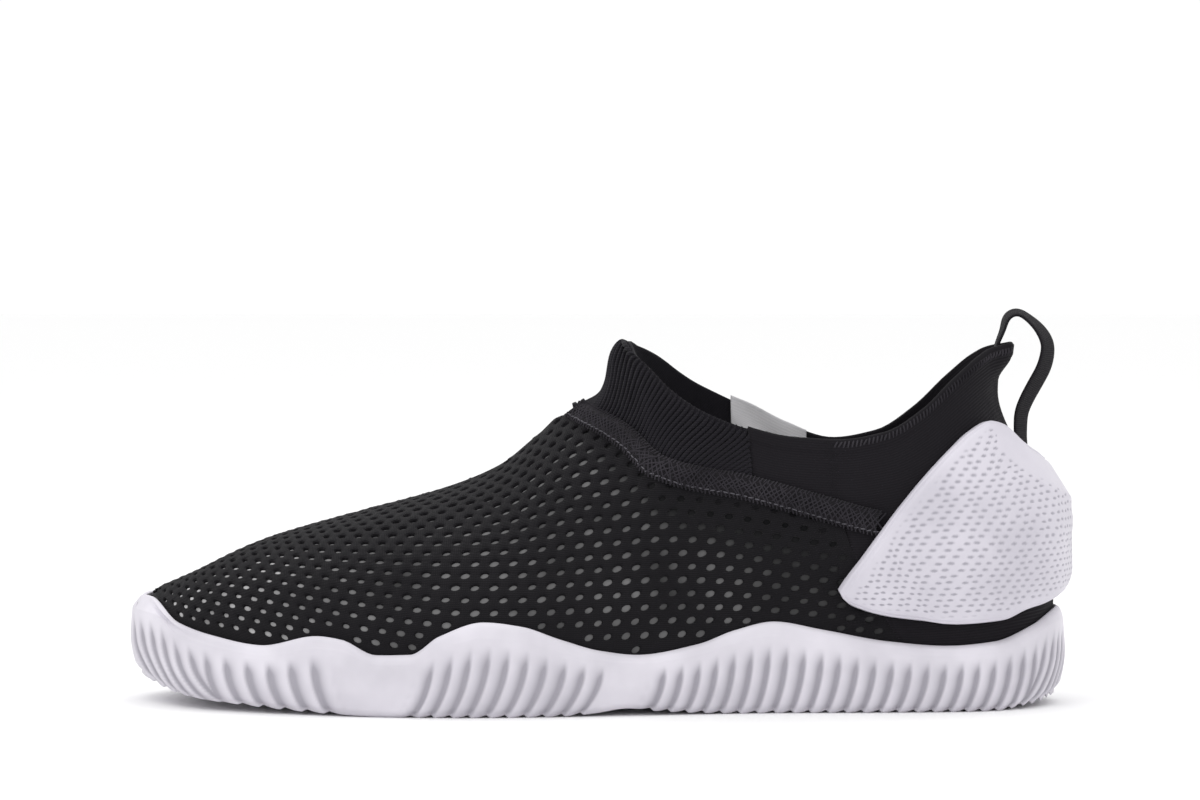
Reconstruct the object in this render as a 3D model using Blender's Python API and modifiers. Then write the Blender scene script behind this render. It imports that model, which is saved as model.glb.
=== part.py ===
# A water shoe for the left foot: a mesh upper on a moulded cup sole, with a rib-knit cuff,
# a raised overlock seam, a moulded heel clip, a twisted pull loop and a bare size label.
# Metres, +Z up. The toe points to -X and the outer side of the foot faces -Y.
# Places along the shoe are shares of its length from the toe. Round the outline runs u:
# -1 at the heel tip, 0 at the toe tip, 1 at the heel tip again, negative on the outer side.
# Up the upper runs v, from 0 at the sole's floor to 1 at the ridge or the collar's rim.

import bmesh
import bpy
import numpy as np

# Driving dimensions
SHOE_LENGTH = 0.285
SOLE_LENGTH = 0.283
BALL_WIDTH = 0.106
HEEL_WIDTH = 0.0725
INSTEP_HEIGHT = 0.0862
COLLAR_HEIGHT = 0.1089
COLLAR_WIDTH = 0.0585
RIM_HEIGHT = 0.0277
BED_HEIGHT = 0.0145
TOE_SPRING = 0.0095
HEEL_ROLL = 0.005
ARCH_RISE = 0.0022
INNER_ARCH_RISE = 0.003

# Walls, and the clearances between pieces
GAP = 0.0003
SOLE_WALL = 0.0033
SOLE_LIP = 0.0018
SOLE_LIP_DROP = 0.0009
CUP_EASE = 0.0004
UPPER_WALL = 0.0017
CUFF_WALL = 0.0021
INSOLE_THICKNESS = 0.004
INSOLE_FIT = 0.0007
SEAM_EASE = 0.00045
BAND_WIDTH = 0.0072
BAND_THICKNESS = 0.0009
BAND_SEAT = 0.0008
CLIP_WALL = 0.0034
CLIP_HOOD = 0.0018
CLIP_SEAT = 0.0006
TAB_FLARE = 0.0032
LABEL_THICKNESS = 0.0006
LABEL_DROP = 0.0075
LOOP_WIDTH = 0.009
LOOP_THICKNESS = 0.0011
LOOP_REACH = 0.0112

# Tread and side ribs
RIB_DEPTH = 0.001
RIB_LEAN = 0.0016
RIB_TOP = 0.8
SIDE_GIRTH = 0.328
LUG_DEPTH = 0.0018

# The collar's front peak, and where the rib knit ends on each side
PEAK = 0.572
CUFF_END = 0.722
CUFF_END_RUN = 0.003

# The sole's outline seen from above, toe to heel. ball and heel are shares of half of each width.
OUTLINE = ("along", "ball", "heel")
OUTER_OUTLINE = [
    (0.000, 0.15, 0.00),
    (0.005, -0.02, 0.00),
    (0.021, -0.19, 0.00),
    (0.070, -0.51, 0.00),
    (0.158, -0.77, 0.00),
    (0.263, -0.943, 0.00),
    (0.361, -1.00, 0.00),
    (0.474, -0.73, -0.30),
    (0.579, -0.44, -0.56),
    (0.684, -0.14, -0.87),
    (0.790, 0.00, -1.035),
    (0.884, 0.00, -0.965),
    (0.947, 0.00, -0.73),
    (0.982, 0.00, -0.37),
    (0.993, 0.00, 0.00),
]
INNER_OUTLINE = [
    (0.000, 0.15, 0.00),
    (0.004, 0.30, 0.00),
    (0.014, 0.455, 0.00),
    (0.053, 0.70, 0.00),
    (0.123, 0.89, 0.00),
    (0.205, 0.98, 0.00),
    (0.274, 1.00, 0.00),
    (0.368, 0.925, 0.00),
    (0.474, 0.57, 0.30),
    (0.579, 0.28, 0.56),
    (0.684, 0.08, 0.81),
    (0.790, 0.00, 0.95),
    (0.884, 0.00, 0.91),
    (0.947, 0.00, 0.715),
    (0.982, 0.00, 0.36),
    (0.993, 0.00, 0.00),
]

# The ridge of the vamp and then the collar's rim. turn is |u|. ball and half are shares of half
# the ball's and the collar's width, and lift is how much higher the inner side stands.
TOP = ("turn", "along", "ball", "half", "instep", "collar", "lift")
TOP_LINE = [
    (0.000, 0.026, 0.150, 0.00, 0.388, 0.00, 0.0),
    (0.060, 0.037, 0.160, 0.00, 0.398, 0.00, 0.0),
    (0.125, 0.070, 0.175, 0.00, 0.441, 0.00, 0.0),
    (0.212, 0.147, 0.215, 0.00, 0.564, 0.00, 0.0),
    (0.307, 0.246, 0.240, 0.00, 0.661, 0.00, 0.0),
    (0.392, 0.337, 0.225, 0.00, 0.745, 0.00, 0.0),
    (0.450, 0.393, 0.170, 0.00, 0.824, 0.00, 0.0),
    (0.490, 0.435, 0.125, 0.00, 0.935, 0.00, 0.0),
    (0.515, 0.461, 0.095, 0.00, 1.000, 0.00, 0.0),
    (0.530, 0.481, 0.080, 0.00, 0.750, 0.238, 0.0),
    (0.542, 0.497, 0.070, 0.00, 0.500, 0.461, 0.0),
    (0.552, 0.506, 0.060, 0.00, 0.250, 0.697, 0.0),
    (0.562, 0.511, 0.055, 0.00, 0.000, 0.955, 0.0),
    (0.572, 0.523, 0.050, 0.00, 0.000, 1.000, 0.0),
    (0.580, 0.527, 0.045, 0.22, 0.000, 0.991, 0.006),
    (0.590, 0.533, 0.040, 0.36, 0.000, 0.972, 0.018),
    (0.610, 0.549, 0.030, 0.53, 0.000, 0.937, 0.035),
    (0.640, 0.575, 0.020, 0.72, 0.000, 0.871, 0.055),
    (0.675, 0.609, 0.010, 0.865, 0.000, 0.814, 0.053),
    (0.720, 0.653, 0.000, 0.957, 0.000, 0.771, 0.041),
    (0.766, 0.700, -0.005, 1.00, 0.000, 0.743, 0.010),
    (0.810, 0.751, -0.010, 1.00, 0.000, 0.736, -0.022),
    (0.848, 0.797, -0.010, 0.947, 0.000, 0.756, -0.020),
    (0.880, 0.837, -0.010, 0.830, 0.000, 0.817, -0.012),
    (0.909, 0.870, -0.010, 0.660, 0.000, 0.895, -0.005),
    (0.940, 0.897, -0.006, 0.455, 0.000, 0.951, 0.0),
    (0.970, 0.916, -0.003, 0.233, 0.000, 0.981, 0.0),
    (1.000, 0.926, 0.000, 0.00, 0.000, 0.990, 0.0),
]

# How each section closes in towards its top: shares of the way in at four heights, and how
# evenly it climbs, from 0 on the arched vamp to 1 on the upright quarters.
SECTION = ("turn", "low", "middle", "high", "upright")
SECTION_HEIGHTS = (0.0, 0.15, 0.40, 0.65, 0.85, 1.0)
SECTIONS = [
    (0.000, 0.10, 0.40, 0.75, 0.00),
    (0.100, 0.12, 0.40, 0.72, 0.00),
    (0.250, 0.14, 0.42, 0.74, 0.00),
    (0.392, 0.15, 0.44, 0.75, 0.00),
    (0.450, 0.17, 0.46, 0.76, 0.15),
    (0.520, 0.19, 0.46, 0.74, 0.35),
    (0.572, 0.212, 0.515, 0.740, 0.60),
    (0.590, 0.216, 0.513, 0.765, 0.68),
    (0.610, 0.208, 0.515, 0.790, 0.75),
    (0.640, 0.169, 0.440, 0.755, 0.825),
    (0.675, 0.10, 0.34, 0.70, 0.90),
    (0.720, 0.05, 0.30, 0.68, 1.00),
    (0.766, 0.00, 0.25, 0.65, 1.00),
    (0.810, -0.10, 0.20, 0.62, 1.00),
    (0.848, -0.10, 0.25, 0.65, 1.00),
    (0.909, -0.10, 0.35, 0.85, 1.00),
    (1.000, -0.10, 0.66, 1.09, 1.00),
]

# Underside and floor of the sole: shares of the toe spring, heel roll, arch and bed height.
TREAD = ("along", "toe", "heel", "arch", "bed")
TREADS = [
    (0.000, 1.00, 0.0, 0.0, 1.12),
    (0.020, 0.79, 0.0, 0.0, 1.04),
    (0.035, 0.61, 0.0, 0.0, 0.98),
    (0.055, 0.44, 0.0, 0.0, 0.91),
    (0.080, 0.33, 0.0, 0.0, 0.83),
    (0.130, 0.22, 0.0, 0.0, 0.73),
    (0.180, 0.12, 0.0, 0.0, 0.67),
    (0.230, 0.05, 0.0, 0.0, 0.63),
    (0.280, 0.00, 0.0, 0.0, 0.62),
    (0.450, 0.00, 0.0, 0.0, 0.70),
    (0.495, 0.00, 0.0, 0.4, 0.76),
    (0.530, 0.00, 0.0, 1.0, 0.81),
    (0.565, 0.00, 0.0, 0.5, 0.86),
    (0.620, 0.00, 0.0, 0.1, 0.93),
    (0.660, 0.00, 0.0, 0.0, 0.95),
    (0.920, 0.00, 0.0, 0.0, 1.01),
    (0.945, 0.00, 0.16, 0.0, 1.02),
    (0.965, 0.00, 0.36, 0.0, 1.03),
    (0.985, 0.00, 0.70, 0.0, 1.04),
    (1.000, 0.00, 1.00, 0.0, 1.04),
]

# The waved top edge of the sole on each side, as shares of its height.
RIM = ("along", "outer", "inner")
RIMS = [
    (0.000, 1.140, 1.140),
    (0.030, 1.120, 1.130),
    (0.060, 0.910, 0.990),
    (0.100, 0.800, 0.860),
    (0.150, 0.730, 0.750),
    (0.210, 0.840, 0.830),
    (0.235, 0.810, 0.810),
    (0.270, 0.660, 0.690),
    (0.305, 0.670, 0.700),
    (0.335, 0.860, 0.850),
    (0.380, 1.000, 0.980),
    (0.420, 0.955, 0.970),
    (0.460, 0.820, 0.900),
    (0.500, 0.700, 0.860),
    (0.540, 0.650, 0.900),
    (0.600, 0.750, 1.040),
    (0.640, 0.895, 1.060),
    (0.680, 0.980, 1.020),
    (0.730, 0.895, 0.900),
    (0.800, 0.765, 0.770),
    (0.860, 0.715, 0.720),
    (0.910, 0.750, 0.750),
    (0.950, 0.900, 0.900),
    (0.980, 1.050, 1.050),
    (1.000, 1.060, 1.060),
]

# The outer face of the sole's wall: height share, inset in walls, and how far ribs cut in.
SIDE = ("height", "inset", "rib")
SIDES = [
    (0.00, 1.00, 0.0),
    (0.10, 0.40, 1.0),
    (0.45, 0.00, 1.0),
    (0.73, 0.10, 0.8),
    (0.88, 0.22, 0.0),
]

# Ribs round the side: stretch of |u| and how many ribs stand in it. 0 ribs is a smooth stretch.
RIB = ("start", "end", "ribs")
RIB_RUNS = [
    (0.000, 0.140, 7),
    (0.140, 0.270, 6),
    (0.270, 0.350, 0),
    (0.350, 0.520, 10),
    (0.520, 0.560, 0),
    (0.560, 0.924, 23),
    (0.924, 1.000, 5),
]
SMOOTH_STEP = 0.020

# Rows down the inside of the sole's wall, as shares of the way from its floor to its rim
CUP_ROWS = (0.8, 0.5)

# Across the tread, shares of the way from the outer to the inner edge, and where lugs are cut.
ACROSS = ("share", "groove")
TREAD_ACROSS = [
    (0.88, 1.0),
    (0.72, 1.0),
    (0.64, 0.0),
    (0.36, 0.0),
    (0.28, 1.0),
    (0.12, 1.0),
]

# Lines drawn on the upper as seen from the side. height is a share of the collar's height.
LINE = ("along", "height")
SEAM_LINE = [
    (0.440, 0.860),
    (0.472, 0.812),
    (0.486, 0.794),
    (0.512, 0.766),
    (0.534, 0.730),
    (0.556, 0.672),
    (0.585, 0.645),
    (0.613, 0.630),
    (0.645, 0.616),
    (0.671, 0.600),
    (0.702, 0.578),
    (0.743, 0.548),
    (0.775, 0.525),
    (0.840, 0.490),
]
CLIP_TOP_LINE = [
    (0.735, 0.270),
    (0.746, 0.336),
    (0.771, 0.425),
    (0.803, 0.536),
    (0.836, 0.640),
    (0.861, 0.707),
    (0.882, 0.756),
    (0.898, 0.778),
    (0.910, 0.764),
    (0.929, 0.713),
    (0.943, 0.680),
    (0.953, 0.655),
    (1.000, 0.600),
]
CLIP_BASE_LINE = [
    (0.735, 0.345),
    (0.749, 0.318),
    (0.761, 0.293),
    (0.798, 0.264),
    (0.833, 0.252),
    (0.872, 0.242),
    (0.915, 0.248),
    (0.940, 0.275),
    (0.957, 0.286),
    (0.984, 0.313),
    (1.000, 0.316),
]
CLIP_FRONT = 0.772
CLIP_FIRST_STEP = 0.01

# Across the clip from its base to its top: how far it stands out, as a share of its wall.
CLIP = ("share", "stand")
CLIP_SECTION = [
    (0.00, 0.35),
    (0.07, 0.95),
    (0.24, 1.00),
    (0.42, 1.00),
    (0.58, 1.00),
    (0.74, 1.00),
    (0.89, 0.95),
    (1.00, 0.35),
]

# Where the clip starts to stand off the upper, round the heel and across the clip
HOOD_TURNS = (0.90, 0.985)
HOOD_SHARES = (0.40, 0.75)

# Where the heel tab flares outwards, up the upper and round the heel
FLARE_HEIGHTS = (0.885, 0.965)
FLARE_TURNS = (0.955, 0.99)

# The free run of the pull loop: how far behind the heel tab it stands, as shares of its reach, how
# far it rises from the clip's top edge to the collar's height, as shares, and its turn to face the
# side, in degrees. Its ends are sewn inside the heel tab and behind the clip.
LOOP = ("reach", "rise", "twist")
LOOP_LINE = [
    (-0.280, 1.088, 3.0),
    (-0.204, 1.193, 8.0),
    (0.083, 1.243, 10.0),
    (0.453, 1.175, 14.0),
    (0.763, 1.079, 22.0),
    (0.946, 0.956, 26.0),
    (1.000, 0.819, 28.0),
    (0.997, 0.655, 26.0),
    (0.736, 0.520, 25.0),
    (0.479, 0.401, 23.0),
    (0.282, 0.275, 14.0),
]
LOOP_TAB_ROWS = (0.930, 0.962, 0.992)
LOOP_TAIL_SHARES = (1.092, 1.035, 0.985)
LOOP_SEAT = 0.0025
LOOP_SLACK = 0.0004

LABEL_START = 0.706
LABEL_END = 0.786
LABEL_TOP = 0.985

# Stations round the shoe and rows up it, and the small steps of the working
VAMP_STATIONS = 13
VAMP_CROWDING = 0.9
BAND_CROWDING = 1.7
SEAM_SEARCH_START = 0.45
HEEL_STATIONS = 16
CUFF_STATIONS = (0.0, 0.0015, 0.004, 0.008, 0.014, 0.021, 0.029, 0.037, 0.045, 0.055)
COLLAR_STATIONS = (0.588, 0.600, 0.618, 0.640, 0.665, 0.692)
UPPER_ROWS = 9
CUFF_ROWS = 4
BAND_STATIONS = 20
BAND_COURSES = (-1, -0.5, 0, 0.5, 1)
BAND_EDGE_DROP = 0.45
LOOP_STATIONS = 33
LABEL_STATIONS = 7
UPPER_INSIDE = 0.029
CUFF_INSIDE = 0.060
STEP = 1e-4
RIDGE_MARGIN = 0.004
WELD = 1e-6
SHARP_ANGLE = 0.7
HALVINGS = 30
WALK_STEPS = 4


def column(names, rows, name):
    """One column of a table."""
    return np.array([row[names.index(name)] for row in rows], float)


def pick(values, place):
    """The value at each place, from one row for all or from a row for each."""
    if values.ndim == 1:
        return values[place]
    return np.take_along_axis(values, place[..., None], -1)[..., 0]


def smooth(knots, values, at):
    """A cubic through the rows of a table that never swings past them."""
    knots = np.asarray(knots, float)
    values = np.asarray(values, float)
    at = np.clip(np.asarray(at, float), knots[0], knots[-1])
    rise = np.diff(values, axis=-1) / np.diff(knots)
    before = rise[..., :-1]
    after = rise[..., 1:]
    agree = before * after > 0
    slope = np.empty(values.shape)
    slope[..., 1:-1] = np.where(agree, 2 * before * after / np.where(agree, before + after, 1), 0)
    slope[..., 0] = rise[..., 0]
    slope[..., -1] = rise[..., -1]
    i = np.clip(np.searchsorted(knots, at, side="right") - 1, 0, len(knots) - 2)
    width = knots[i + 1] - knots[i]
    s = (at - knots[i]) / width
    low = pick(values, i) * (1 + 2 * s) * (1 - s) ** 2 + pick(slope, i) * width * s * (1 - s) ** 2
    high = pick(values, i + 1) * s**2 * (3 - 2 * s) - pick(slope, i + 1) * width * s**2 * (1 - s)
    return low + high


def round_trip(names, rows, name, turn, odd=False):
    """A column read at |u|, carried on past both tips so that it runs smoothly over them."""
    knots = column(names, rows, names[0])
    values = column(names, rows, name)
    knots = np.concatenate([[-knots[1]], knots, [2 - knots[-2]]])
    last = -values[-2] if odd else values[-2]
    return smooth(knots, np.concatenate([[values[1]], values, [last]]), turn)


def wrap(u):
    return (np.asarray(u, float) + 1) % 2 - 1


def world_x(along):
    return (along - 0.5) * SHOE_LENGTH


def along_of(x):
    return x / SHOE_LENGTH + 0.5


def outline_knots():
    """Both sides' outlines as one loop: u, x and y, carried on past the heel tip."""
    sides = []
    for rows in (OUTER_OUTLINE, INNER_OUTLINE):
        x = world_x(column(OUTLINE, rows, "along") * SOLE_LENGTH / (rows[-1][0] * SHOE_LENGTH))
        ball = column(OUTLINE, rows, "ball") * BALL_WIDTH / 2
        y = ball + column(OUTLINE, rows, "heel") * HEEL_WIDTH / 2
        run = np.concatenate([[0], np.cumsum(np.hypot(np.diff(x), np.diff(y)))])
        sides.append((run / run[-1], x, y))
    (outer_u, outer_x, outer_y), (inner_u, inner_x, inner_y) = sides
    u = np.concatenate([-outer_u[::-1], inner_u[1:]])
    x = np.concatenate([outer_x[::-1], inner_x[1:]])
    y = np.concatenate([outer_y[::-1], inner_y[1:]])
    u = np.concatenate([[u[-2] - 2], u, [u[1] + 2]])
    return u, np.concatenate([[x[-2]], x, [x[1]]]), np.concatenate([[y[-2]], y, [y[1]]])


OUTLINE_U, OUTLINE_X, OUTLINE_Y = outline_knots()


def outline(u, inset=0.0):
    """Points of the sole's outline, moved inwards, with its outward direction there."""
    u = wrap(u)
    x = smooth(OUTLINE_U, OUTLINE_X, u)
    y = smooth(OUTLINE_U, OUTLINE_Y, u)
    dx = smooth(OUTLINE_U, OUTLINE_X, u + STEP) - smooth(OUTLINE_U, OUTLINE_X, u - STEP)
    dy = smooth(OUTLINE_U, OUTLINE_Y, u + STEP) - smooth(OUTLINE_U, OUTLINE_Y, u - STEP)
    size = np.hypot(dx, dy)
    out = np.stack([-dy / size, dx / size], -1)
    return np.stack([x, y], -1) - out * np.asarray(inset)[..., None], out


def tread_height(x, y):
    """The underside of the sole, with its toe spring, arch and rolled heel."""
    along = along_of(x)
    knots = column(TREAD, TREADS, "along")
    arch = smooth(knots, column(TREAD, TREADS, "arch"), along)
    inner = np.clip(y / (HEEL_WIDTH / 2), 0, 1)
    return (
        TOE_SPRING * smooth(knots, column(TREAD, TREADS, "toe"), along)
        + HEEL_ROLL * smooth(knots, column(TREAD, TREADS, "heel"), along)
        + (ARCH_RISE + INNER_ARCH_RISE * inner) * arch
    )


def bed_height(x):
    """The floor inside the sole."""
    knots = column(TREAD, TREADS, "along")
    return BED_HEIGHT * smooth(knots, column(TREAD, TREADS, "bed"), along_of(x))


def rim_height(x, u):
    """The waved top edge of the sole, on the side that u is on."""
    knots = column(RIM, RIMS, "along")
    outer = smooth(knots, column(RIM, RIMS, "outer"), along_of(x))
    inner = smooth(knots, column(RIM, RIMS, "inner"), along_of(x))
    return RIM_HEIGHT * np.where(wrap(u) > 0, inner, outer)


def top_point(u):
    """The ridge or the rim above the outline at u."""
    turn = np.abs(u)
    x = world_x(round_trip(TOP, TOP_LINE, "along", turn))
    half = round_trip(TOP, TOP_LINE, "half", turn, odd=True) * COLLAR_WIDTH / 2
    y = round_trip(TOP, TOP_LINE, "ball", turn) * BALL_WIDTH / 2 + np.sign(u) * half
    lift = np.where(u > 0, round_trip(TOP, TOP_LINE, "lift", turn), 0)
    z = INSTEP_HEIGHT * round_trip(TOP, TOP_LINE, "instep", turn)
    z = z + COLLAR_HEIGHT * (round_trip(TOP, TOP_LINE, "collar", turn) + lift)
    return x, y, z


def ramp(value, start, end):
    """0 up to start, 1 from end, and a soft step between them."""
    s = np.clip((value - start) / (end - start), 0, 1)
    return s * s * (3 - 2 * s)


def skin(u, v):
    """The upper's outer face before any offset."""
    u, v = np.broadcast_arrays(wrap(u), np.asarray(v, float))
    turn = np.abs(u)
    base, out = outline(u, np.full(u.shape, SOLE_WALL + GAP))
    base_z = bed_height(base[..., 0]) + GAP
    top_x, top_y, top_z = top_point(u)
    across = np.stack([top_x, top_y], -1) - base
    inward = (across * out).sum(-1)
    along = np.stack([-out[..., 1], out[..., 0]], -1)
    sideways = (across * along).sum(-1)
    columns = [round_trip(SECTION, SECTIONS, name, turn) for name in SECTION[1:4]]
    zero = np.zeros(u.shape)
    lean = smooth(SECTION_HEIGHTS, np.stack([zero, zero, *columns, zero + 1], -1), v)
    upright = round_trip(SECTION, SECTIONS, "upright", turn)
    climb = (1 - upright) * np.sin(v * np.pi / 2) + upright * v
    flare = TAB_FLARE * ramp(v, *FLARE_HEIGHTS) * ramp(turn, *FLARE_TURNS)
    place = base + out * (inward * lean + flare)[..., None]
    place = place + along * (sideways * (1 - (1 - v) ** 2))[..., None]
    z = base_z + (top_z - base_z) * climb
    return np.concatenate([place, z[..., None]], -1)


def raw_facing(u, v):
    v = np.minimum(v, 1 - RIDGE_MARGIN)
    up = skin(u, v + STEP) - skin(u, np.maximum(v - STEP, 0))
    round_the_foot = skin(u + STEP, v) - skin(u - STEP, v)
    facing = np.cross(up, round_the_foot)
    return facing / np.linalg.norm(facing, axis=-1, keepdims=True)


def facing_of(u, v):
    """The upper's outward direction, the same for both sides where they meet on the ridge."""
    u, v = np.broadcast_arrays(wrap(u), np.asarray(v, float))
    own = raw_facing(u, v)
    shared = (v > 1 - 2 * STEP) & (np.abs(u) <= PEAK)
    both = own + raw_facing(-u, v)
    facing = np.where(shared[..., None], both, own)
    return facing / np.linalg.norm(facing, axis=-1, keepdims=True)


def upper_point(u, v, out=0.0):
    """A point of the upper's outer face, moved outwards."""
    point = skin(u, v)
    return point + facing_of(u, v) * np.broadcast_to(out, point.shape[:-1])[..., None]


def up_to(u, line):
    """How far up the section at u its skin meets a line given as a height for each place."""
    u = np.asarray(u, float)
    low = np.zeros(u.shape)
    high = np.ones(u.shape)
    for _ in range(HALVINGS):
        middle = (low + high) / 2
        point = skin(u, middle)
        below = point[..., 2] < line(point[..., 0], u)
        low = np.where(below, middle, low)
        high = np.where(below, high, middle)
    return (low + high) / 2


def side_line(rows, shift=0.0):
    """A drawn line as a function that up_to can follow."""
    knots = column(LINE, rows, "along")
    heights = column(LINE, rows, "height") * COLLAR_HEIGHT
    return lambda x, u: smooth(knots, heights, along_of(x)) + shift


def seam_start(line):
    """The |u| where the ridge first rises over a line."""
    low = SEAM_SEARCH_START
    high = PEAK
    for _ in range(HALVINGS):
        middle = (low + high) / 2
        point = skin(np.array(middle), np.array(1.0))
        if point[2] < line(point[0], middle):
            low = middle
        else:
            high = middle
    return high


def make_object(name, mesh_data, colour, roughness, metallic=0.0):
    """Adds one piece to the shoe's collection, with its own material."""
    mesh = bpy.data.meshes.new(name)
    mesh_data.to_mesh(mesh)
    mesh_data.free()
    mesh.shade_smooth()
    mesh.set_sharp_from_angle(angle=SHARP_ANGLE)
    material = bpy.data.materials.new(name)
    material.use_nodes = True
    shader = material.node_tree.nodes["Principled BSDF"]
    shader.inputs["Base Color"].default_value = (*colour, 1.0)
    shader.inputs["Roughness"].default_value = roughness
    shader.inputs["Metallic"].default_value = metallic
    mesh.materials.append(material)
    piece = bpy.data.objects.new(name, mesh)
    shoe.objects.link(piece)
    return piece


def grid_mesh(rows, closed_across=False, cap_ends=False):
    """Faces between rows of points. closed_across joins each row's last point to its first."""
    rows = np.asarray(rows, float)
    mesh = bmesh.new()
    points = [[mesh.verts.new(point) for point in row] for row in rows]
    across = len(rows[0]) if closed_across else len(rows[0]) - 1
    for near, far in zip(points, points[1:]):
        for i in range(across):
            j = (i + 1) % len(near)
            mesh.faces.new((near[i], near[j], far[j], far[i]))
    if cap_ends:
        mesh.faces.new(points[0])
        mesh.faces.new(points[-1])
    bmesh.ops.remove_doubles(mesh, verts=mesh.verts[:], dist=WELD)
    bmesh.ops.dissolve_degenerate(mesh, edges=mesh.edges[:], dist=WELD)
    bmesh.ops.recalc_face_normals(mesh, faces=mesh.faces[:])
    return mesh


def face_out(mesh, inside):
    """Turns an open surface so that its faces look away from a point inside it."""
    total = 0.0
    for face in mesh.faces:
        away = face.calc_center_median()
        total += face.calc_area() * face.normal.dot(away - inside_vector(inside, away))
    if total < 0:
        bmesh.ops.reverse_faces(mesh, faces=mesh.faces[:])


def inside_vector(height, point):
    """The point on the shoe's middle line level with a given one, at a given height."""
    middle = point.copy()
    middle.y = 0
    middle.z = height
    return middle


def thicken(piece, wall):
    """Gives an open outer face its wall, inwards."""
    solid = piece.modifiers.new("wall", "SOLIDIFY")
    solid.thickness = wall
    solid.offset = -1
    solid.use_even_offset = True
    solid.use_quality_normals = True


def rib_columns():
    """The sole's stations: |u|, how deep a rib groove is there and how deep a lug groove is."""
    stations = []
    count = 0
    for start, end, ribs in RIB_RUNS:
        if ribs == 0:
            steps = max(1, round((end - start) / SMOOTH_STEP))
            stations += [(start + (end - start) * k / steps, 0.0, 0.0) for k in range(steps)]
            continue
        pitch = (end - start) / ribs
        for k in range(ribs):
            groove = 1.0 if start + k * pitch > 0 else 0.0
            stations.append((start + k * pitch, groove, groove * (count % 2)))
            stations.append((start + (k + 0.5) * pitch, 0.0, 0.0))
            count += 1
    return stations + [(1.0, 0.0, 0.0)]


def sole_wall(turns, grooves, side):
    """One side of the sole at each station: tread edge, side, rim, then down to the floor."""
    u = turns * side
    place, _ = outline(u)
    rim = rim_height(place[:, 0], u)
    tread = tread_height(place[:, 0], place[:, 1])
    rows = []
    ends = (turns > 0) & (turns < 1)
    for height, inset, rib in SIDES:
        lean = RIB_LEAN / SIDE_GIRTH * (height - SIDES[1][0]) * ends * (height < RIB_TOP)
        cut = SOLE_WALL * inset + RIB_DEPTH * rib * grooves
        point, _ = outline(u + side * lean, cut)
        z = tread + (rim - tread) * height
        if height == 0:
            z = tread_height(point[:, 0], point[:, 1])
        rows.append(np.column_stack([point, z]))
    lip_v = up_to(u, lambda x, at: rim_height(x, at) - SOLE_LIP_DROP)
    edge_v = up_to(u, rim_height)
    rows.append(upper_point(u, lip_v, GAP + SOLE_LIP))
    rows.append(upper_point(u, edge_v, GAP + SOLE_LIP_DROP / 3))
    rows += [upper_point(u, edge_v * share, GAP + CUP_EASE) for share in CUP_ROWS]
    floor, _ = outline(u, np.full(u.shape, SOLE_WALL))
    rows.append(np.column_stack([floor, bed_height(floor[:, 0])]))
    return np.stack(rows, 1)


def make_sole():
    stations = rib_columns()
    turns, grooves, lugs = (np.array(values) for values in zip(*stations))
    outer = sole_wall(turns, grooves, -1)
    inner = sole_wall(turns, grooves, 1)
    middle = (outer[:, -1] + inner[:, -1]) / 2
    middle[:, 2] = bed_height(middle[:, 0])
    middle[0] = outer[0, -1]
    middle[-1] = outer[-1, -1]
    under = []
    for share, groove in TREAD_ACROSS:
        point = outer[:, 0] * (1 - share) + inner[:, 0] * share
        z = tread_height(point[:, 0], point[:, 1]) + LUG_DEPTH * groove * lugs
        point[1:-1, 2] = z[1:-1]
        under.append(point)
    for wall in (outer, inner):
        wall[:, 0, 2] += LUG_DEPTH * lugs
    rings = np.concatenate(
        [outer, middle[:, None], inner[:, ::-1], np.stack(under, 1)], axis=1
    )
    mesh = grid_mesh(rings, closed_across=True)
    return make_object("sole", mesh, (0.66, 0.63, 0.69), 0.55)


def make_insole():
    inset = SOLE_WALL + GAP + UPPER_WALL + INSOLE_FIT
    turns, _ = upper_tops(side_line(SEAM_LINE, -SEAM_EASE))
    rings = []
    for side in (-1, 1):
        place, _ = outline(turns * side, np.full(turns.shape, inset))
        rings.append(place)
    outer, inner = rings
    middle = (outer + inner) / 2

    def raised(place, lift):
        return np.column_stack([place, bed_height(place[:, 0]) + GAP + lift])

    thickness = INSOLE_THICKNESS
    rows = [raised(outer, 0), raised(outer, thickness), raised(middle, thickness)]
    rows += [raised(inner, thickness), raised(inner, 0), raised(middle, 0)]
    mesh = grid_mesh(np.stack(rows, 1), closed_across=True)
    return make_object("insole", mesh, (0.05, 0.05, 0.055), 0.9)


def heel_turns():
    """Stations round the heel, which the upper and the clip share."""
    return np.linspace(CUFF_END + CUFF_END_RUN, 1, HEEL_STATIONS)


def upper_tops(seam):
    """Stations of the upper and how far up each reaches."""
    start = seam_start(seam)
    vamp = start * np.linspace(0, 1, VAMP_STATIONS) ** VAMP_CROWDING
    front = start + np.array(CUFF_STATIONS[1:])
    side = np.array(COLLAR_STATIONS)
    turns = np.concatenate([vamp, front, side[side > front[-1]], [CUFF_END], heel_turns()])
    cut = (turns > start) & (turns <= CUFF_END)
    return turns, cut


def make_upper():
    seam = side_line(SEAM_LINE, -SEAM_EASE)
    turns, cut = upper_tops(seam)
    columns = []
    for u in np.concatenate([-turns[::-1], turns[1:]]):
        is_cut = cut[np.argmin(np.abs(turns - abs(u)))]
        top = up_to(u, seam) if is_cut else 1.0
        rows = np.linspace(0, 1, UPPER_ROWS + 1) * top
        columns.append(upper_point(np.full(rows.shape, u), rows))
    mesh = grid_mesh(columns)
    face_out(mesh, UPPER_INSIDE)
    piece = make_object("upper", mesh, (0.012, 0.011, 0.012), 0.85)
    thicken(piece, UPPER_WALL)
    return piece


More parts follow.
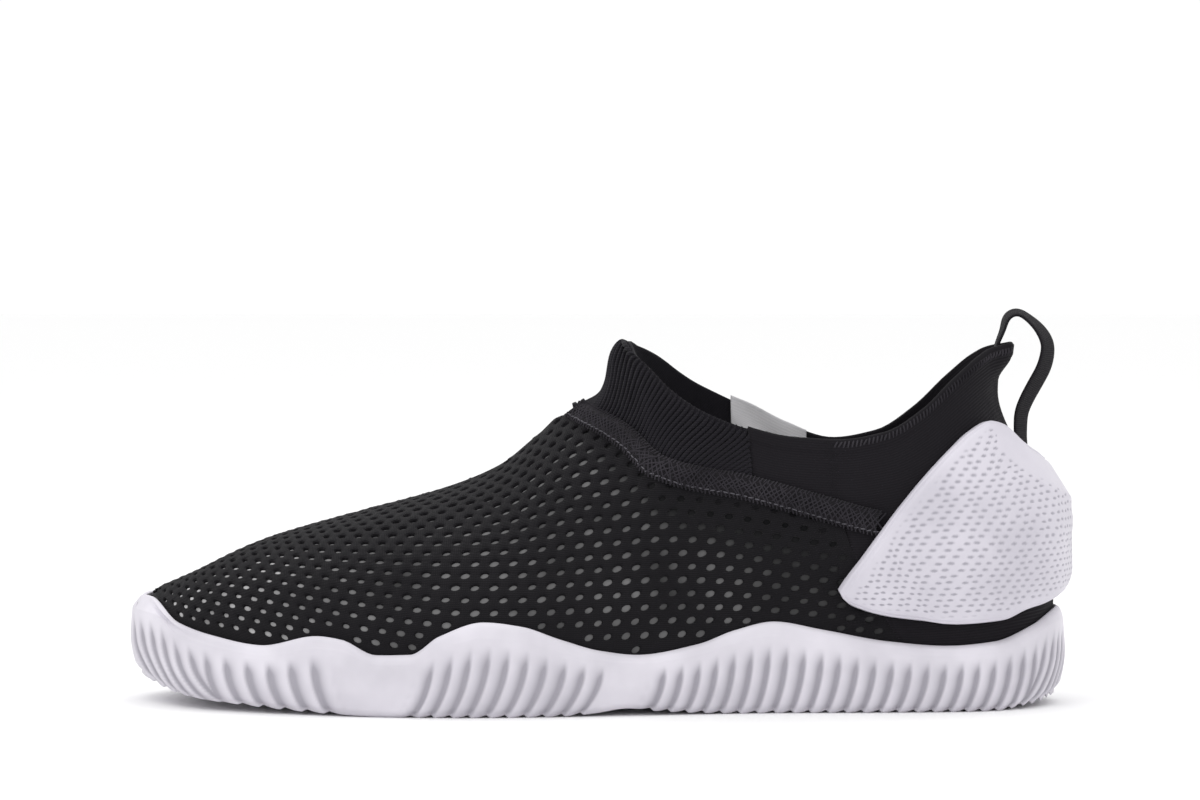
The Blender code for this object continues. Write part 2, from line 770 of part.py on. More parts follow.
def make_cuff():
    seam = side_line(SEAM_LINE, SEAM_EASE)
    start = seam_start(seam)
    side = np.array(COLLAR_STATIONS)
    front = start + np.array(CUFF_STATIONS)
    turns = np.concatenate([front[front < PEAK], [PEAK], side, [CUFF_END - 2 * GAP / SHOE_LENGTH]])
    columns = []
    for u in np.concatenate([-turns[::-1], turns]):
        bottom = 1.0 if abs(u) == start else up_to(u, seam)
        rows = bottom + (1 - bottom) * np.linspace(0, 1, CUFF_ROWS + 1)
        columns.append(upper_point(np.full(rows.shape, u), rows))
    half = len(turns)
    mesh = grid_mesh(columns[:half])
    other = grid_mesh(columns[half:])
    mesh = joined(mesh, other)
    face_out(mesh, CUFF_INSIDE)
    piece = make_object("rib_cuff", mesh, (0.015, 0.014, 0.018), 0.9)
    thicken(piece, CUFF_WALL)
    return piece


def joined(mesh, other):
    """One mesh of two, welded where they meet."""
    carrier = bpy.data.meshes.new("half")
    other.to_mesh(carrier)
    other.free()
    mesh.from_mesh(carrier)
    bpy.data.meshes.remove(carrier)
    bmesh.ops.remove_doubles(mesh, verts=mesh.verts[:], dist=WELD)
    bmesh.ops.recalc_face_normals(mesh, faces=mesh.faces[:])
    return mesh


def walk(u, v, way, distance):
    """Moves across the skin from u, v by a distance in a direction, over the ridge if need be."""
    for _ in range(WALK_STEPS):
        by_u = (skin(u + STEP, v) - skin(u - STEP, v)) / (2 * STEP)
        low = np.minimum(v, 1 - RIDGE_MARGIN) - STEP
        by_v = (skin(u, low + 2 * STEP) - skin(u, low)) / (2 * STEP)
        uu = (by_u * by_u).sum(-1)
        uv = (by_u * by_v).sum(-1)
        vv = (by_v * by_v).sum(-1)
        move = way * (distance / WALK_STEPS)
        mu = (by_u * move).sum(-1)
        mv = (by_v * move).sum(-1)
        size = uu * vv - uv * uv
        u = u + (vv * mu - uv * mv) / size
        v = v + (uu * mv - uv * mu) / size
        over = v > 1
        u = np.where(over, -u, u)
        v = np.where(over, 2 - v, v)
    return u, v


def seam_path():
    """The seam's middle from the clip on the outer side, over the instep, to the clip inside."""
    seam = side_line(SEAM_LINE)
    clip = side_line(CLIP_TOP_LINE, BAND_WIDTH)
    start = seam_start(seam)
    turns = np.linspace(CUFF_END, 1, 200)
    reach = up_to(turns, seam)
    free = reach > up_to(turns, clip)
    end = turns[free][-1] if free[0] else CUFF_END
    turns = start + (end - start) * np.linspace(0, 1, BAND_STATIONS) ** BAND_CROWDING
    u = np.concatenate([-turns[:0:-1], turns])
    v = np.where(np.abs(u) <= start, 1.0, up_to(u, seam))
    return u, v


def make_band():
    """The overlocked seam: a raised strip from clip to clip over the instep."""
    u, v = seam_path()
    line = skin(u, v)
    along = np.gradient(line, axis=0)
    aside = np.cross(facing_of(u, v), along)
    aside /= np.linalg.norm(aside, axis=-1, keepdims=True)
    inside = []
    outside = []
    for way in BAND_COURSES:
        edge_u, edge_v = walk(u, v, aside * way, BAND_WIDTH / 2)
        inside.append(upper_point(edge_u, edge_v, GAP + BAND_SEAT))
        stand = BAND_THICKNESS * (1 - BAND_EDGE_DROP * abs(way))
        outside.append(upper_point(edge_u, edge_v, GAP + BAND_SEAT + stand))
    rings = np.stack(inside + outside[::-1], 1)
    mesh = grid_mesh(rings, closed_across=True, cap_ends=True)
    return make_object("seam_band", mesh, (0.014, 0.013, 0.015), 0.9)


def make_clip():
    """The moulded clip: a thick wall round the heel that stands off the upper at the back."""
    top_line = side_line(CLIP_TOP_LINE)
    base_line = side_line(CLIP_BASE_LINE)
    heel = heel_turns()
    turns = np.concatenate([[CLIP_FRONT], heel[heel > CLIP_FRONT + CLIP_FIRST_STEP]])
    rings = []
    for u in np.concatenate([-turns, turns[-2::-1]]):
        low = float(up_to(u, base_line))
        high = float(up_to(u, top_line))
        shares = column(CLIP, CLIP_SECTION, "share")
        stands = column(CLIP, CLIP_SECTION, "stand")
        hood = CLIP_HOOD * ramp(abs(u), *HOOD_TURNS) * ramp(shares, *HOOD_SHARES)
        rows = low + (high - low) * shares
        at = np.full(rows.shape, u)
        inner = GAP + CLIP_SEAT + hood
        outside = upper_point(at, rows, inner + CLIP_WALL * stands)
        inside = upper_point(at, rows, inner)
        ring = np.concatenate([outside, inside[::-1]])
        rings.append(ring)
    mesh = grid_mesh(rings, closed_across=True, cap_ends=True)
    return make_object("heel_clip", mesh, (0.57, 0.53, 0.61), 0.45)


def make_loop():
    """The pull loop: flat webbing that twists on its way from the heel tab to the clip."""
    half = LOOP_THICKNESS / 2
    tab_rows = np.array(LOOP_TAB_ROWS)
    heel = np.ones(len(tab_rows))
    clip_row = up_to(heel, side_line(CLIP_TOP_LINE))
    clip_top = skin(heel, clip_row)[0, 2]
    tail_rows = clip_row * np.array(LOOP_TAIL_SHARES)
    tab = upper_point(heel, tab_rows, -UPPER_WALL - GAP - LOOP_SEAT - half)
    tail = upper_point(heel, tail_rows, GAP + LOOP_SLACK + half)
    free_z = clip_top + (COLLAR_HEIGHT - clip_top) * column(LOOP, LOOP_LINE, "rise")
    back = np.ones(len(free_z))
    level = up_to(back, lambda x, u: free_z)
    free_x = skin(back, level)[:, 0] + LOOP_REACH * column(LOOP, LOOP_LINE, "reach")
    x = np.concatenate([tab[:, 0], free_x, tail[:, 0]])
    z = np.concatenate([tab[:, 2], free_z, tail[:, 2]])
    twist = np.concatenate([0 * heel, column(LOOP, LOOP_LINE, "twist"), 0 * heel])
    twist = np.radians(twist)
    run = np.concatenate([[0], np.cumsum(np.hypot(np.diff(x), np.diff(z)))])
    at = np.linspace(0, run[-1], LOOP_STATIONS)
    x = smooth(run, x, at)
    z = smooth(run, z, at)
    twist = smooth(run, twist, at)
    along = np.column_stack([np.gradient(x), np.zeros(len(x)), np.gradient(z)])
    along /= np.linalg.norm(along, axis=-1, keepdims=True)
    across = np.tile([0.0, 1.0, 0.0], (len(x), 1))
    thick = np.cross(along, across)
    wide = across * np.cos(twist)[:, None] + thick * np.sin(twist)[:, None]
    flat = np.cross(along, wide)
    middle = np.column_stack([x, np.zeros(len(x)), z])
    corners = ((1, 1), (-1, 1), (-1, -1), (1, -1))
    rings = [
        middle + wide * (a * LOOP_WIDTH / 2) + flat * (b * LOOP_THICKNESS / 2) for a, b in corners
    ]
    mesh = grid_mesh(np.stack(rings, 1), closed_across=True, cap_ends=True)
    return make_object("pull_loop", mesh, (0.012, 0.011, 0.013), 0.8)


def make_label():
    """The bare woven label, sewn inside the inner rim."""
    rings = []
    for u in np.linspace(LABEL_START, LABEL_END, LABEL_STATIONS):
        top = skin(u, LABEL_TOP)[2]
        low = float(up_to(u, lambda x, at, top=top: top - LABEL_DROP))
        rows = np.array([low, (low + LABEL_TOP) / 2, LABEL_TOP])
        at = np.full(rows.shape, u)
        back = upper_point(at, rows, -CUFF_WALL - GAP)
        front = upper_point(at, rows, -CUFF_WALL - GAP - LABEL_THICKNESS)
        rings.append(np.concatenate([back, front[::-1]]))
    mesh = grid_mesh(rings, closed_across=True, cap_ends=True)
    return make_object("size_label", mesh, (0.6, 0.57, 0.61), 0.85)


for old in list(bpy.data.objects):
    bpy.data.objects.remove(old, do_unlink=True)
shoe = bpy.data.collections.new("water_shoe")
bpy.context.scene.collection.children.link(shoe)

make_sole()
make_insole()
make_upper()
make_cuff()
make_band()
make_clip()
make_loop()
make_label()
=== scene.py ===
# %% [markdown]
# # A water shoe
# This lesson dresses a left slip-on water shoe, seen from its outer side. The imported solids
# already hold its real size and place. Here each solid gets the surface that the eye expects: an
# open mesh with real holes, a rib-knit cuff, an overlock seam, a dimpled heel clip and a ribbed
# cup sole.

# %% Load the solids
import math

import bmesh
import bpy
import numpy as np
from mathutils import Matrix, Vector
from mathutils.geometry import delaunay_2d_cdt


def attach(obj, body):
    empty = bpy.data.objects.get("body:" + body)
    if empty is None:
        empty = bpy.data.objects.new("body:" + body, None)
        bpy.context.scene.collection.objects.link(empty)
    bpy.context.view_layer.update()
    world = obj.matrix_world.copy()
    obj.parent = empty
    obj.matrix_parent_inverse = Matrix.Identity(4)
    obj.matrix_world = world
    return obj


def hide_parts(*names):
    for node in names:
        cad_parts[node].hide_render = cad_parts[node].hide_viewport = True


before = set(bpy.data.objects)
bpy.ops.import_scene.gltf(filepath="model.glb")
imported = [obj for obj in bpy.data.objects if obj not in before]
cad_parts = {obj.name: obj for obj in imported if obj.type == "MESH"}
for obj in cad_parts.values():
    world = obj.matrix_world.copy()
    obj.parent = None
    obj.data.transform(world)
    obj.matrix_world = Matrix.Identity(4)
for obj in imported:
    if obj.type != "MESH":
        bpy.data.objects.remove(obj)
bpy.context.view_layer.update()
print("solids:", ", ".join(sorted(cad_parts)))

# %% [markdown]
# ## The shoe's sizes
# A shoe is drawn round a last, and a last is a few lengths and a few curves. The same named sizes
# and short tables that shaped the solids are written again here, because the fine surfaces must
# lie on exactly the same form. Lengths are in metres. Places along the shoe are shares from the
# toe. A walk round the shoe is counted by u, 0 at the toe and 1 at the heel, with a minus sign on
# the outer side. A climb up a section is counted by v, 0 at the sole and 1 at the ridge or rim.

# %% Driving sizes
SHOE_LENGTH = 0.285
SOLE_LENGTH = 0.283
BALL_WIDTH = 0.106
HEEL_WIDTH = 0.0725
INSTEP_HEIGHT = 0.0862
COLLAR_HEIGHT = 0.1089
COLLAR_WIDTH = 0.0585
RIM_HEIGHT = 0.0277
BED_HEIGHT = 0.0145
TOE_SPRING = 0.0095
HEEL_ROLL = 0.005
ARCH_RISE = 0.0022
INNER_ARCH_RISE = 0.003

# Once round the upper on one side, where the collar peaks in front, and where the rib knit ends
SIDE_GIRTH = 0.328
PEAK = 0.572
CUFF_END = 0.722
print("length in mm:", 1000 * SHOE_LENGTH)


# %% Walls and clearances
GAP = 0.0003
SOLE_WALL = 0.0033
SOLE_LIP = 0.0018
SOLE_LIP_DROP = 0.0009
CUP_EASE = 0.0004
UPPER_WALL = 0.0017
CUFF_WALL = 0.0021
INSOLE_THICKNESS = 0.004
INSOLE_FIT = 0.0007
SEAM_EASE = 0.00045
BAND_WIDTH = 0.0072
BAND_THICKNESS = 0.0009
CLIP_WALL = 0.0034
CLIP_HOOD = 0.0018
CLIP_SEAT = 0.0006
TAB_FLARE = 0.0032
LABEL_DROP = 0.0075
LOOP_WIDTH = 0.009
LOOP_THICKNESS = 0.0011
LOOP_REACH = 0.0112
LUG_DEPTH = 0.0018
print("walls in mm:", 1000 * SOLE_WALL, 1000 * UPPER_WALL, 1000 * CUFF_WALL)


# %% [markdown]
# ## Curves from tables
# A form that was measured at a few stations is best kept as a short table. A cubic that never
# swings past its rows runs through them, so one changed number moves the form there and nowhere
# else. The outline of the sole is such a table for each side, read as one closed loop.

# %% Reading a table
def column(names, rows, name):
    """One column of a table."""
    return np.array([row[names.index(name)] for row in rows], float)


def pick(values, place):
    """The value at each place, from one row for all or from a row for each."""
    if values.ndim == 1:
        return values[place]
    return np.take_along_axis(values, place[..., None], -1)[..., 0]


def smooth(knots, values, at):
    """A cubic through the rows of a table that never swings past them."""
    knots = np.asarray(knots, float)
    values = np.asarray(values, float)
    at = np.clip(np.asarray(at, float), knots[0], knots[-1])
    rise = np.diff(values, axis=-1) / np.diff(knots)
    before = rise[..., :-1]
    after = rise[..., 1:]
    agree = before * after > 0
    slope = np.empty(values.shape)
    slope[..., 1:-1] = np.where(agree, 2 * before * after / np.where(agree, before + after, 1), 0)
    slope[..., 0] = rise[..., 0]
    slope[..., -1] = rise[..., -1]
    i = np.clip(np.searchsorted(knots, at, side="right") - 1, 0, len(knots) - 2)
    width = knots[i + 1] - knots[i]
    s = (at - knots[i]) / width
    low = pick(values, i) * (1 + 2 * s) * (1 - s) ** 2 + pick(slope, i) * width * s * (1 - s) ** 2
    high = pick(values, i + 1) * s**2 * (3 - 2 * s) - pick(slope, i + 1) * width * s**2 * (1 - s)
    return low + high


def round_trip(names, rows, name, turn, odd=False):
    """A column read at |u|, carried on past both tips so that it runs smoothly over them."""
    knots = column(names, rows, names[0])
    values = column(names, rows, name)
    knots = np.concatenate([[-knots[1]], knots, [2 - knots[-2]]])
    last = -values[-2] if odd else values[-2]
    return smooth(knots, np.concatenate([[values[1]], values, [last]]), turn)


def ramp(value, start, end):
    """0 up to start, 1 from end, and a soft step between them."""
    s = np.clip((value - start) / (end - start), 0, 1)
    return s * s * (3 - 2 * s)


print("halfway up a ramp:", float(ramp(0.5, 0, 1)))


# %% Places and lengths
def wrap(u):
    return (np.asarray(u, float) + 1) % 2 - 1


def world_x(along):
    return (along - 0.5) * SHOE_LENGTH


def along_of(x):
    return x / SHOE_LENGTH + 0.5


def unit(vectors):
    """The same directions, each of length 1."""
    return vectors / np.linalg.norm(vectors, axis=-1, keepdims=True)


def run_of(points):
    """The length from the first point of a line to each of its points."""
    steps = np.linalg.norm(np.diff(points, axis=0), axis=-1)
    return np.concatenate([[0], np.cumsum(steps)])


print("toe and heel at x:", world_x(0.0), world_x(1.0))


# %% The sole's outline as a table
# The sole's outline seen from above, toe to heel. ball and heel are shares of half of each width.
OUTLINE = ("along", "ball", "heel")
OUTER_OUTLINE = [
    (0, 0.15, 0), (0.005, -0.02, 0), (0.021, -0.19, 0), (0.07, -0.51, 0),
    (0.158, -0.77, 0), (0.263, -0.943, 0), (0.361, -1, 0), (0.474, -0.73, -0.3),
    (0.579, -0.44, -0.56), (0.684, -0.14, -0.87), (0.79, 0, -1.035), (0.884, 0, -0.965),
    (0.947, 0, -0.73), (0.982, 0, -0.37), (0.993, 0, 0),
]
INNER_OUTLINE = [
    (0, 0.15, 0), (0.004, 0.3, 0), (0.014, 0.455, 0), (0.053, 0.7, 0),
    (0.123, 0.89, 0), (0.205, 0.98, 0), (0.274, 1, 0), (0.368, 0.925, 0),
    (0.474, 0.57, 0.3), (0.579, 0.28, 0.56), (0.684, 0.08, 0.81), (0.79, 0, 0.95),
    (0.884, 0, 0.91), (0.947, 0, 0.715), (0.982, 0, 0.36), (0.993, 0, 0),
]


def outline_knots():
    """Both sides' outlines as one loop: u, x and y, carried on past the heel tip."""
    sides = []
    for rows in (OUTER_OUTLINE, INNER_OUTLINE):
        x = world_x(column(OUTLINE, rows, "along") * SOLE_LENGTH / (rows[-1][0] * SHOE_LENGTH))
        ball = column(OUTLINE, rows, "ball") * BALL_WIDTH / 2
        y = ball + column(OUTLINE, rows, "heel") * HEEL_WIDTH / 2
        run = np.concatenate([[0], np.cumsum(np.hypot(np.diff(x), np.diff(y)))])
        sides.append((run / run[-1], x, y))
    (outer_u, outer_x, outer_y), (inner_u, inner_x, inner_y) = sides
    u = np.concatenate([-outer_u[::-1], inner_u[1:]])
    x = np.concatenate([outer_x[::-1], inner_x[1:]])
    y = np.concatenate([outer_y[::-1], inner_y[1:]])
    u = np.concatenate([[u[-2] - 2], u, [u[1] + 2]])
    return u, np.concatenate([[x[-2]], x, [x[1]]]), np.concatenate([[y[-2]], y, [y[1]]])


OUTLINE_U, OUTLINE_X, OUTLINE_Y = outline_knots()
print("stations of the outline:", len(OUTLINE_U))


# %% The outline and its facing
# The facing is read over a wide step, so that it turns evenly, and over a fine one at both tips
STEP = 1e-4
TURN_STEP = 0.016
TOE_TURNS = (0.02, 0.08)
HEEL_TURNS = (0.92, 0.985)


def outline(u, inset=0.0):
    """Points of the sole's outline, moved inwards, with its outward direction there."""
    u = wrap(u)
    x = smooth(OUTLINE_U, OUTLINE_X, u)
    y = smooth(OUTLINE_U, OUTLINE_Y, u)
    near_tips = np.minimum(ramp(np.abs(u), *TOE_TURNS), 1 - ramp(np.abs(u), *HEEL_TURNS))
    step = STEP + (TURN_STEP - STEP) * near_tips
    dx = smooth(OUTLINE_U, OUTLINE_X, u + step) - smooth(OUTLINE_U, OUTLINE_X, u - step)
    dy = smooth(OUTLINE_U, OUTLINE_Y, u + step) - smooth(OUTLINE_U, OUTLINE_Y, u - step)
    size = np.hypot(dx, dy)
    out = np.stack([-dy / size, dx / size], -1)
    return np.stack([x, y], -1) - out * np.asarray(inset)[..., None], out


print("widest place in mm:", round(1000 * float(np.ptp(OUTLINE_Y)), 1))


# %% [markdown]
# ## Heights of the sole
# The underside lifts at the toe and the heel and arches in between, the floor inside follows it
# at a depth, and the rim runs in waves. Each is again a table along the shoe, as shares of one
# named height, so the whole sole can be made lower or higher by one number.

# %% Underside, floor and rim
# Underside and floor of the sole: shares of the toe spring, heel roll, arch and bed height.
TREAD = ("along", "toe", "heel", "arch", "bed")
TREADS = [
    (0, 1, 0, 0, 1.12), (0.02, 0.79, 0, 0, 1.04), (0.035, 0.61, 0, 0, 0.98),
    (0.055, 0.44, 0, 0, 0.91), (0.08, 0.33, 0, 0, 0.83), (0.13, 0.22, 0, 0, 0.73),
    (0.18, 0.12, 0, 0, 0.67), (0.23, 0.05, 0, 0, 0.63), (0.28, 0, 0, 0, 0.62),
    (0.45, 0, 0, 0, 0.7), (0.495, 0, 0, 0.4, 0.76), (0.53, 0, 0, 1, 0.81),
    (0.565, 0, 0, 0.5, 0.86), (0.62, 0, 0, 0.1, 0.93), (0.66, 0, 0, 0, 0.95),
    (0.92, 0, 0, 0, 1.01), (0.945, 0, 0.16, 0, 1.02), (0.965, 0, 0.36, 0, 1.03),
    (0.985, 0, 0.7, 0, 1.04), (1, 0, 1, 0, 1.04),
]

# The waved top edge of the sole on each side, as shares of its height.
RIM = ("along", "outer", "inner")
RIMS = [
    (0, 1.14, 1.14), (0.03, 1.12, 1.13), (0.06, 0.91, 0.99), (0.1, 0.8, 0.86),
    (0.15, 0.73, 0.75), (0.21, 0.84, 0.83), (0.235, 0.81, 0.81), (0.27, 0.66, 0.69),
    (0.305, 0.67, 0.7), (0.335, 0.86, 0.85), (0.38, 1, 0.98), (0.42, 0.955, 0.97),
    (0.46, 0.82, 0.9), (0.5, 0.7, 0.86), (0.54, 0.65, 0.9), (0.6, 0.75, 1.04),
    (0.64, 0.895, 1.06), (0.68, 0.98, 1.02), (0.73, 0.895, 0.9), (0.8, 0.765, 0.77),
    (0.86, 0.715, 0.72), (0.91, 0.75, 0.75), (0.95, 0.9, 0.9), (0.98, 1.05, 1.05),
    (1, 1.06, 1.06),
]


def tread_height(x, y):
    """The underside of the sole, with its toe spring, arch and rolled heel."""
    along = along_of(x)
    knots = column(TREAD, TREADS, "along")
    arch = smooth(knots, column(TREAD, TREADS, "arch"), along)
    inner = np.clip(y / (HEEL_WIDTH / 2), 0, 1)
    return (
        TOE_SPRING * smooth(knots, column(TREAD, TREADS, "toe"), along)
        + HEEL_ROLL * smooth(knots, column(TREAD, TREADS, "heel"), along)
        + (ARCH_RISE + INNER_ARCH_RISE * inner) * arch
    )


def bed_height(x):
    """The floor inside the sole."""
    knots = column(TREAD, TREADS, "along")
    return BED_HEIGHT * smooth(knots, column(TREAD, TREADS, "bed"), along_of(x))


def rim_height(x, u):
    """The waved top edge of the sole, on the side that u is on."""
    knots = column(RIM, RIMS, "along")
    outer = smooth(knots, column(RIM, RIMS, "outer"), along_of(x))
    inner = smooth(knots, column(RIM, RIMS, "inner"), along_of(x))
    return RIM_HEIGHT * np.where(wrap(u) > 0, inner, outer)


print("floor at the heel in mm:", round(1000 * float(bed_height(world_x(0.9))), 1))


# %% [markdown]
# ## The upper's skin
# The upper is a surface between two curves: the sole's outline and the line of the ridge and the
# rim. Sections close in from one to the other in a way that changes from toe to heel. One
# function gives the point for any u and v, and everything that lies on the shoe asks it, so all
# layers agree.

# %% Ridge and rim
# The ridge of the vamp and then the collar's rim. turn is |u|. ball and half are shares of half
# the ball's and the collar's width, and lift is how much higher the inner side stands.
TOP = ("turn", "along", "ball", "half", "instep", "collar", "lift")
TOP_LINE = [
    (0, 0.026, 0.15, 0, 0.388, 0, 0), (0.06, 0.037, 0.16, 0, 0.398, 0, 0),
    (0.125, 0.07, 0.175, 0, 0.441, 0, 0), (0.212, 0.147, 0.215, 0, 0.564, 0, 0),
    (0.307, 0.246, 0.24, 0, 0.661, 0, 0), (0.392, 0.337, 0.225, 0, 0.745, 0, 0),
    (0.45, 0.393, 0.17, 0, 0.824, 0, 0), (0.49, 0.435, 0.125, 0, 0.935, 0, 0),
    (0.515, 0.461, 0.095, 0, 1, 0, 0), (0.53, 0.481, 0.08, 0, 0.75, 0.238, 0),
    (0.542, 0.497, 0.07, 0, 0.5, 0.461, 0), (0.552, 0.506, 0.06, 0, 0.25, 0.697, 0),
    (0.562, 0.511, 0.055, 0, 0, 0.955, 0), (0.572, 0.523, 0.05, 0, 0, 1, 0),
    (0.58, 0.527, 0.045, 0.22, 0, 0.991, 0.006), (0.59, 0.533, 0.04, 0.36, 0, 0.972, 0.018),
    (0.61, 0.549, 0.03, 0.53, 0, 0.937, 0.035), (0.64, 0.575, 0.02, 0.72, 0, 0.871, 0.055),
    (0.675, 0.609, 0.01, 0.865, 0, 0.814, 0.053),
    (0.72, 0.653, 0, 0.957, 0, 0.771, 0.041), (0.766, 0.7, -0.005, 1, 0, 0.743, 0.01),
    (0.81, 0.751, -0.01, 1, 0, 0.736, -0.022),
    (0.848, 0.797, -0.01, 0.947, 0, 0.756, -0.02),
    (0.88, 0.837, -0.01, 0.83, 0, 0.817, -0.012),
    (0.909, 0.87, -0.01, 0.66, 0, 0.895, -0.005),
    (0.94, 0.897, -0.006, 0.455, 0, 0.951, 0),
    (0.97, 0.916, -0.003, 0.233, 0, 0.981, 0), (1, 0.926, 0, 0, 0, 0.99, 0),
]


def top_point(u):
    """The ridge or the rim above the outline at u."""
    turn = np.abs(u)
    x = world_x(round_trip(TOP, TOP_LINE, "along", turn))
    half = round_trip(TOP, TOP_LINE, "half", turn, odd=True) * COLLAR_WIDTH / 2
    y = round_trip(TOP, TOP_LINE, "ball", turn) * BALL_WIDTH / 2 + np.sign(u) * half
    lift = np.where(u > 0, round_trip(TOP, TOP_LINE, "lift", turn), 0)
    z = INSTEP_HEIGHT * round_trip(TOP, TOP_LINE, "instep", turn)
    z = z + COLLAR_HEIGHT * (round_trip(TOP, TOP_LINE, "collar", turn) + lift)
    return x, y, z


print("rim at the back in mm:", round(1000 * float(top_point(np.array(1.0))[2]), 1))


# %% Sections
# How each section closes in towards its top: shares of the way in at four heights, and how
# evenly it climbs, from 0 on the arched vamp to 1 on the upright quarters.
SECTION = ("turn", "low", "middle", "high", "upright")
SECTION_HEIGHTS = (0.0, 0.15, 0.40, 0.65, 0.85, 1.0)
SECTIONS = [
    (0, 0.1, 0.4, 0.75, 0), (0.1, 0.12, 0.4, 0.72, 0), (0.25, 0.14, 0.42, 0.74, 0),
    (0.392, 0.15, 0.44, 0.75, 0), (0.45, 0.17, 0.46, 0.76, 0.15),
    (0.52, 0.19, 0.46, 0.74, 0.35), (0.572, 0.212, 0.515, 0.74, 0.6),
    (0.59, 0.216, 0.513, 0.765, 0.68), (0.61, 0.208, 0.515, 0.79, 0.75),
    (0.64, 0.169, 0.44, 0.755, 0.825), (0.675, 0.1, 0.34, 0.7, 0.9),
    (0.72, 0.05, 0.3, 0.68, 1), (0.766, 0, 0.25, 0.65, 1), (0.81, -0.1, 0.2, 0.62, 1),
    (0.848, -0.1, 0.25, 0.65, 1), (0.909, -0.1, 0.35, 0.85, 1),
    (1, -0.1, 0.66, 1.09, 1),
]

# Where the heel tab flares outwards, up the upper and round the heel
FLARE_HEIGHTS = (0.885, 0.965)
FLARE_TURNS = (0.955, 0.99)


def plain_skin(u, v):
    """The upper's outer face before it is evened out and offset."""
    u, v = np.broadcast_arrays(wrap(u), np.asarray(v, float))
    turn = np.abs(u)
    base, out = outline(u, np.full(u.shape, SOLE_WALL + GAP))
    base_z = bed_height(base[..., 0]) + GAP
    top_x, top_y, top_z = top_point(u)
    across = np.stack([top_x, top_y], -1) - base
    inward = (across * out).sum(-1)
    along = np.stack([-out[..., 1], out[..., 0]], -1)
    sideways = (across * along).sum(-1)
    columns = [round_trip(SECTION, SECTIONS, name, turn) for name in SECTION[1:4]]
    zero = np.zeros(u.shape)
    lean = smooth(SECTION_HEIGHTS, np.stack([zero, zero, *columns, zero + 1], -1), v)
    upright = round_trip(SECTION, SECTIONS, "upright", turn)
    climb = (1 - upright) * np.sin(v * np.pi / 2) + upright * v
    flare = TAB_FLARE * ramp(v, *FLARE_HEIGHTS) * ramp(turn, *FLARE_TURNS)
    place = base + out * (inward * lean + flare)[..., None]
    place = place + along * (sideways * (1 - (1 - v) ** 2))[..., None]
    z = base_z + (top_z - base_z) * climb
    return np.concatenate([place, z[..., None]], -1)


print("stations of the sections:", len(SECTIONS))


# %% Evened skin
EVEN_STEP = 0.010
EVEN_WEIGHTS = (1, 3, 4, 3, 1)
EVEN_TURNS = (0.42, 0.50, 0.68, 0.76)
EVEN_ROWS = (0.90, 1.0)


def skin(u, v):
    """The upper's outer face, with the flank below the collar's peak evened out."""
    u, v = np.broadcast_arrays(wrap(u), np.asarray(v, float))
    points = plain_skin(u, v)
    turn = np.abs(u)
    start, full, fade, end = EVEN_TURNS
    share = ramp(turn, start, full) * (1 - ramp(turn, fade, end)) * (1 - ramp(v, *EVEN_ROWS))
    near = share > 0
    if np.any(near):
        at, up = u[near], v[near]
        weights = enumerate(EVEN_WEIGHTS)
        total = sum(weight * plain_skin(at + (k - 2) * EVEN_STEP, up) for k, weight in weights)
        points[near] += (total / sum(EVEN_WEIGHTS) - points[near]) * share[near][:, None]
    return points


print("evened from turn", EVEN_TURNS[0], "to", EVEN_TURNS[-1])


# %% Outward direction
RIDGE_MARGIN = 0.004


def raw_facing(u, v):
    v = np.minimum(v, 1 - RIDGE_MARGIN)
    up = skin(u, v + STEP) - skin(u, np.maximum(v - STEP, 0))
    round_the_foot = skin(u + STEP, v) - skin(u - STEP, v)
    return unit(np.cross(up, round_the_foot))


def facing_of(u, v):
    """The upper's outward direction, the same for both sides where they meet on the ridge."""
    u, v = np.broadcast_arrays(wrap(u), np.asarray(v, float))
    own = raw_facing(u, v)
    shared = (v > 1 - 2 * STEP) & (np.abs(u) <= PEAK)
    both = own + raw_facing(-u, v)
    return unit(np.where(shared[..., None], both, own))


def upper_point(u, v, out=0.0):
    """A point of the upper's outer face, moved outwards."""
    point = skin(u, v)
    return point + facing_of(u, v) * np.broadcast_to(out, point.shape[:-1])[..., None]


print("the heel faces:", facing_of(1.0, 0.5).round(2).tolist())


# %% [markdown]
# ## Lines drawn on the skin
# Seams and edges were read from the side view, as heights along the shoe. To lay one on the skin,
# each section is halved again and again until the climb that meets the line is found. It takes
# thirty halvings, but it needs no knowledge of the surface.

# %% Lines as seen from the side
# Lines drawn on the upper as seen from the side. height is a share of the collar's height.
LINE = ("along", "height")
SEAM_LINE = [
    (0.44, 0.86), (0.472, 0.812), (0.486, 0.794), (0.512, 0.766), (0.534, 0.73), (0.556, 0.672),
    (0.585, 0.645), (0.613, 0.63), (0.645, 0.616), (0.671, 0.6), (0.702, 0.578), (0.743, 0.548),
    (0.775, 0.525), (0.84, 0.49),
]
SEAM_SEARCH_START = 0.45
HALVINGS = 30


def up_to(u, line):
    """How far up the section at u its skin meets a line given as a height for each place."""
    u = np.asarray(u, float)
    low = np.zeros(u.shape)
    high = np.ones(u.shape)
    for _ in range(HALVINGS):
        middle = (low + high) / 2
        point = skin(u, middle)
        below = point[..., 2] < line(point[..., 0], u)
        low = np.where(below, middle, low)
        high = np.where(below, high, middle)
    return (low + high) / 2


def side_line(rows, shift=0.0):
    """A drawn line as a function that up_to can follow."""
    knots = column(LINE, rows, "along")
    heights = column(LINE, rows, "height") * COLLAR_HEIGHT
    return lambda x, u: smooth(knots, heights, along_of(x)) + shift


def seam_start(line):
    """The |u| where the ridge first rises over a line."""
    low = SEAM_SEARCH_START
    high = PEAK
    for _ in range(HALVINGS):
        middle = (low + high) / 2
        point = skin(np.array(middle), np.array(1.0))
        if point[2] < line(point[0], middle):
            low = middle
        else:
            high = middle
    return high


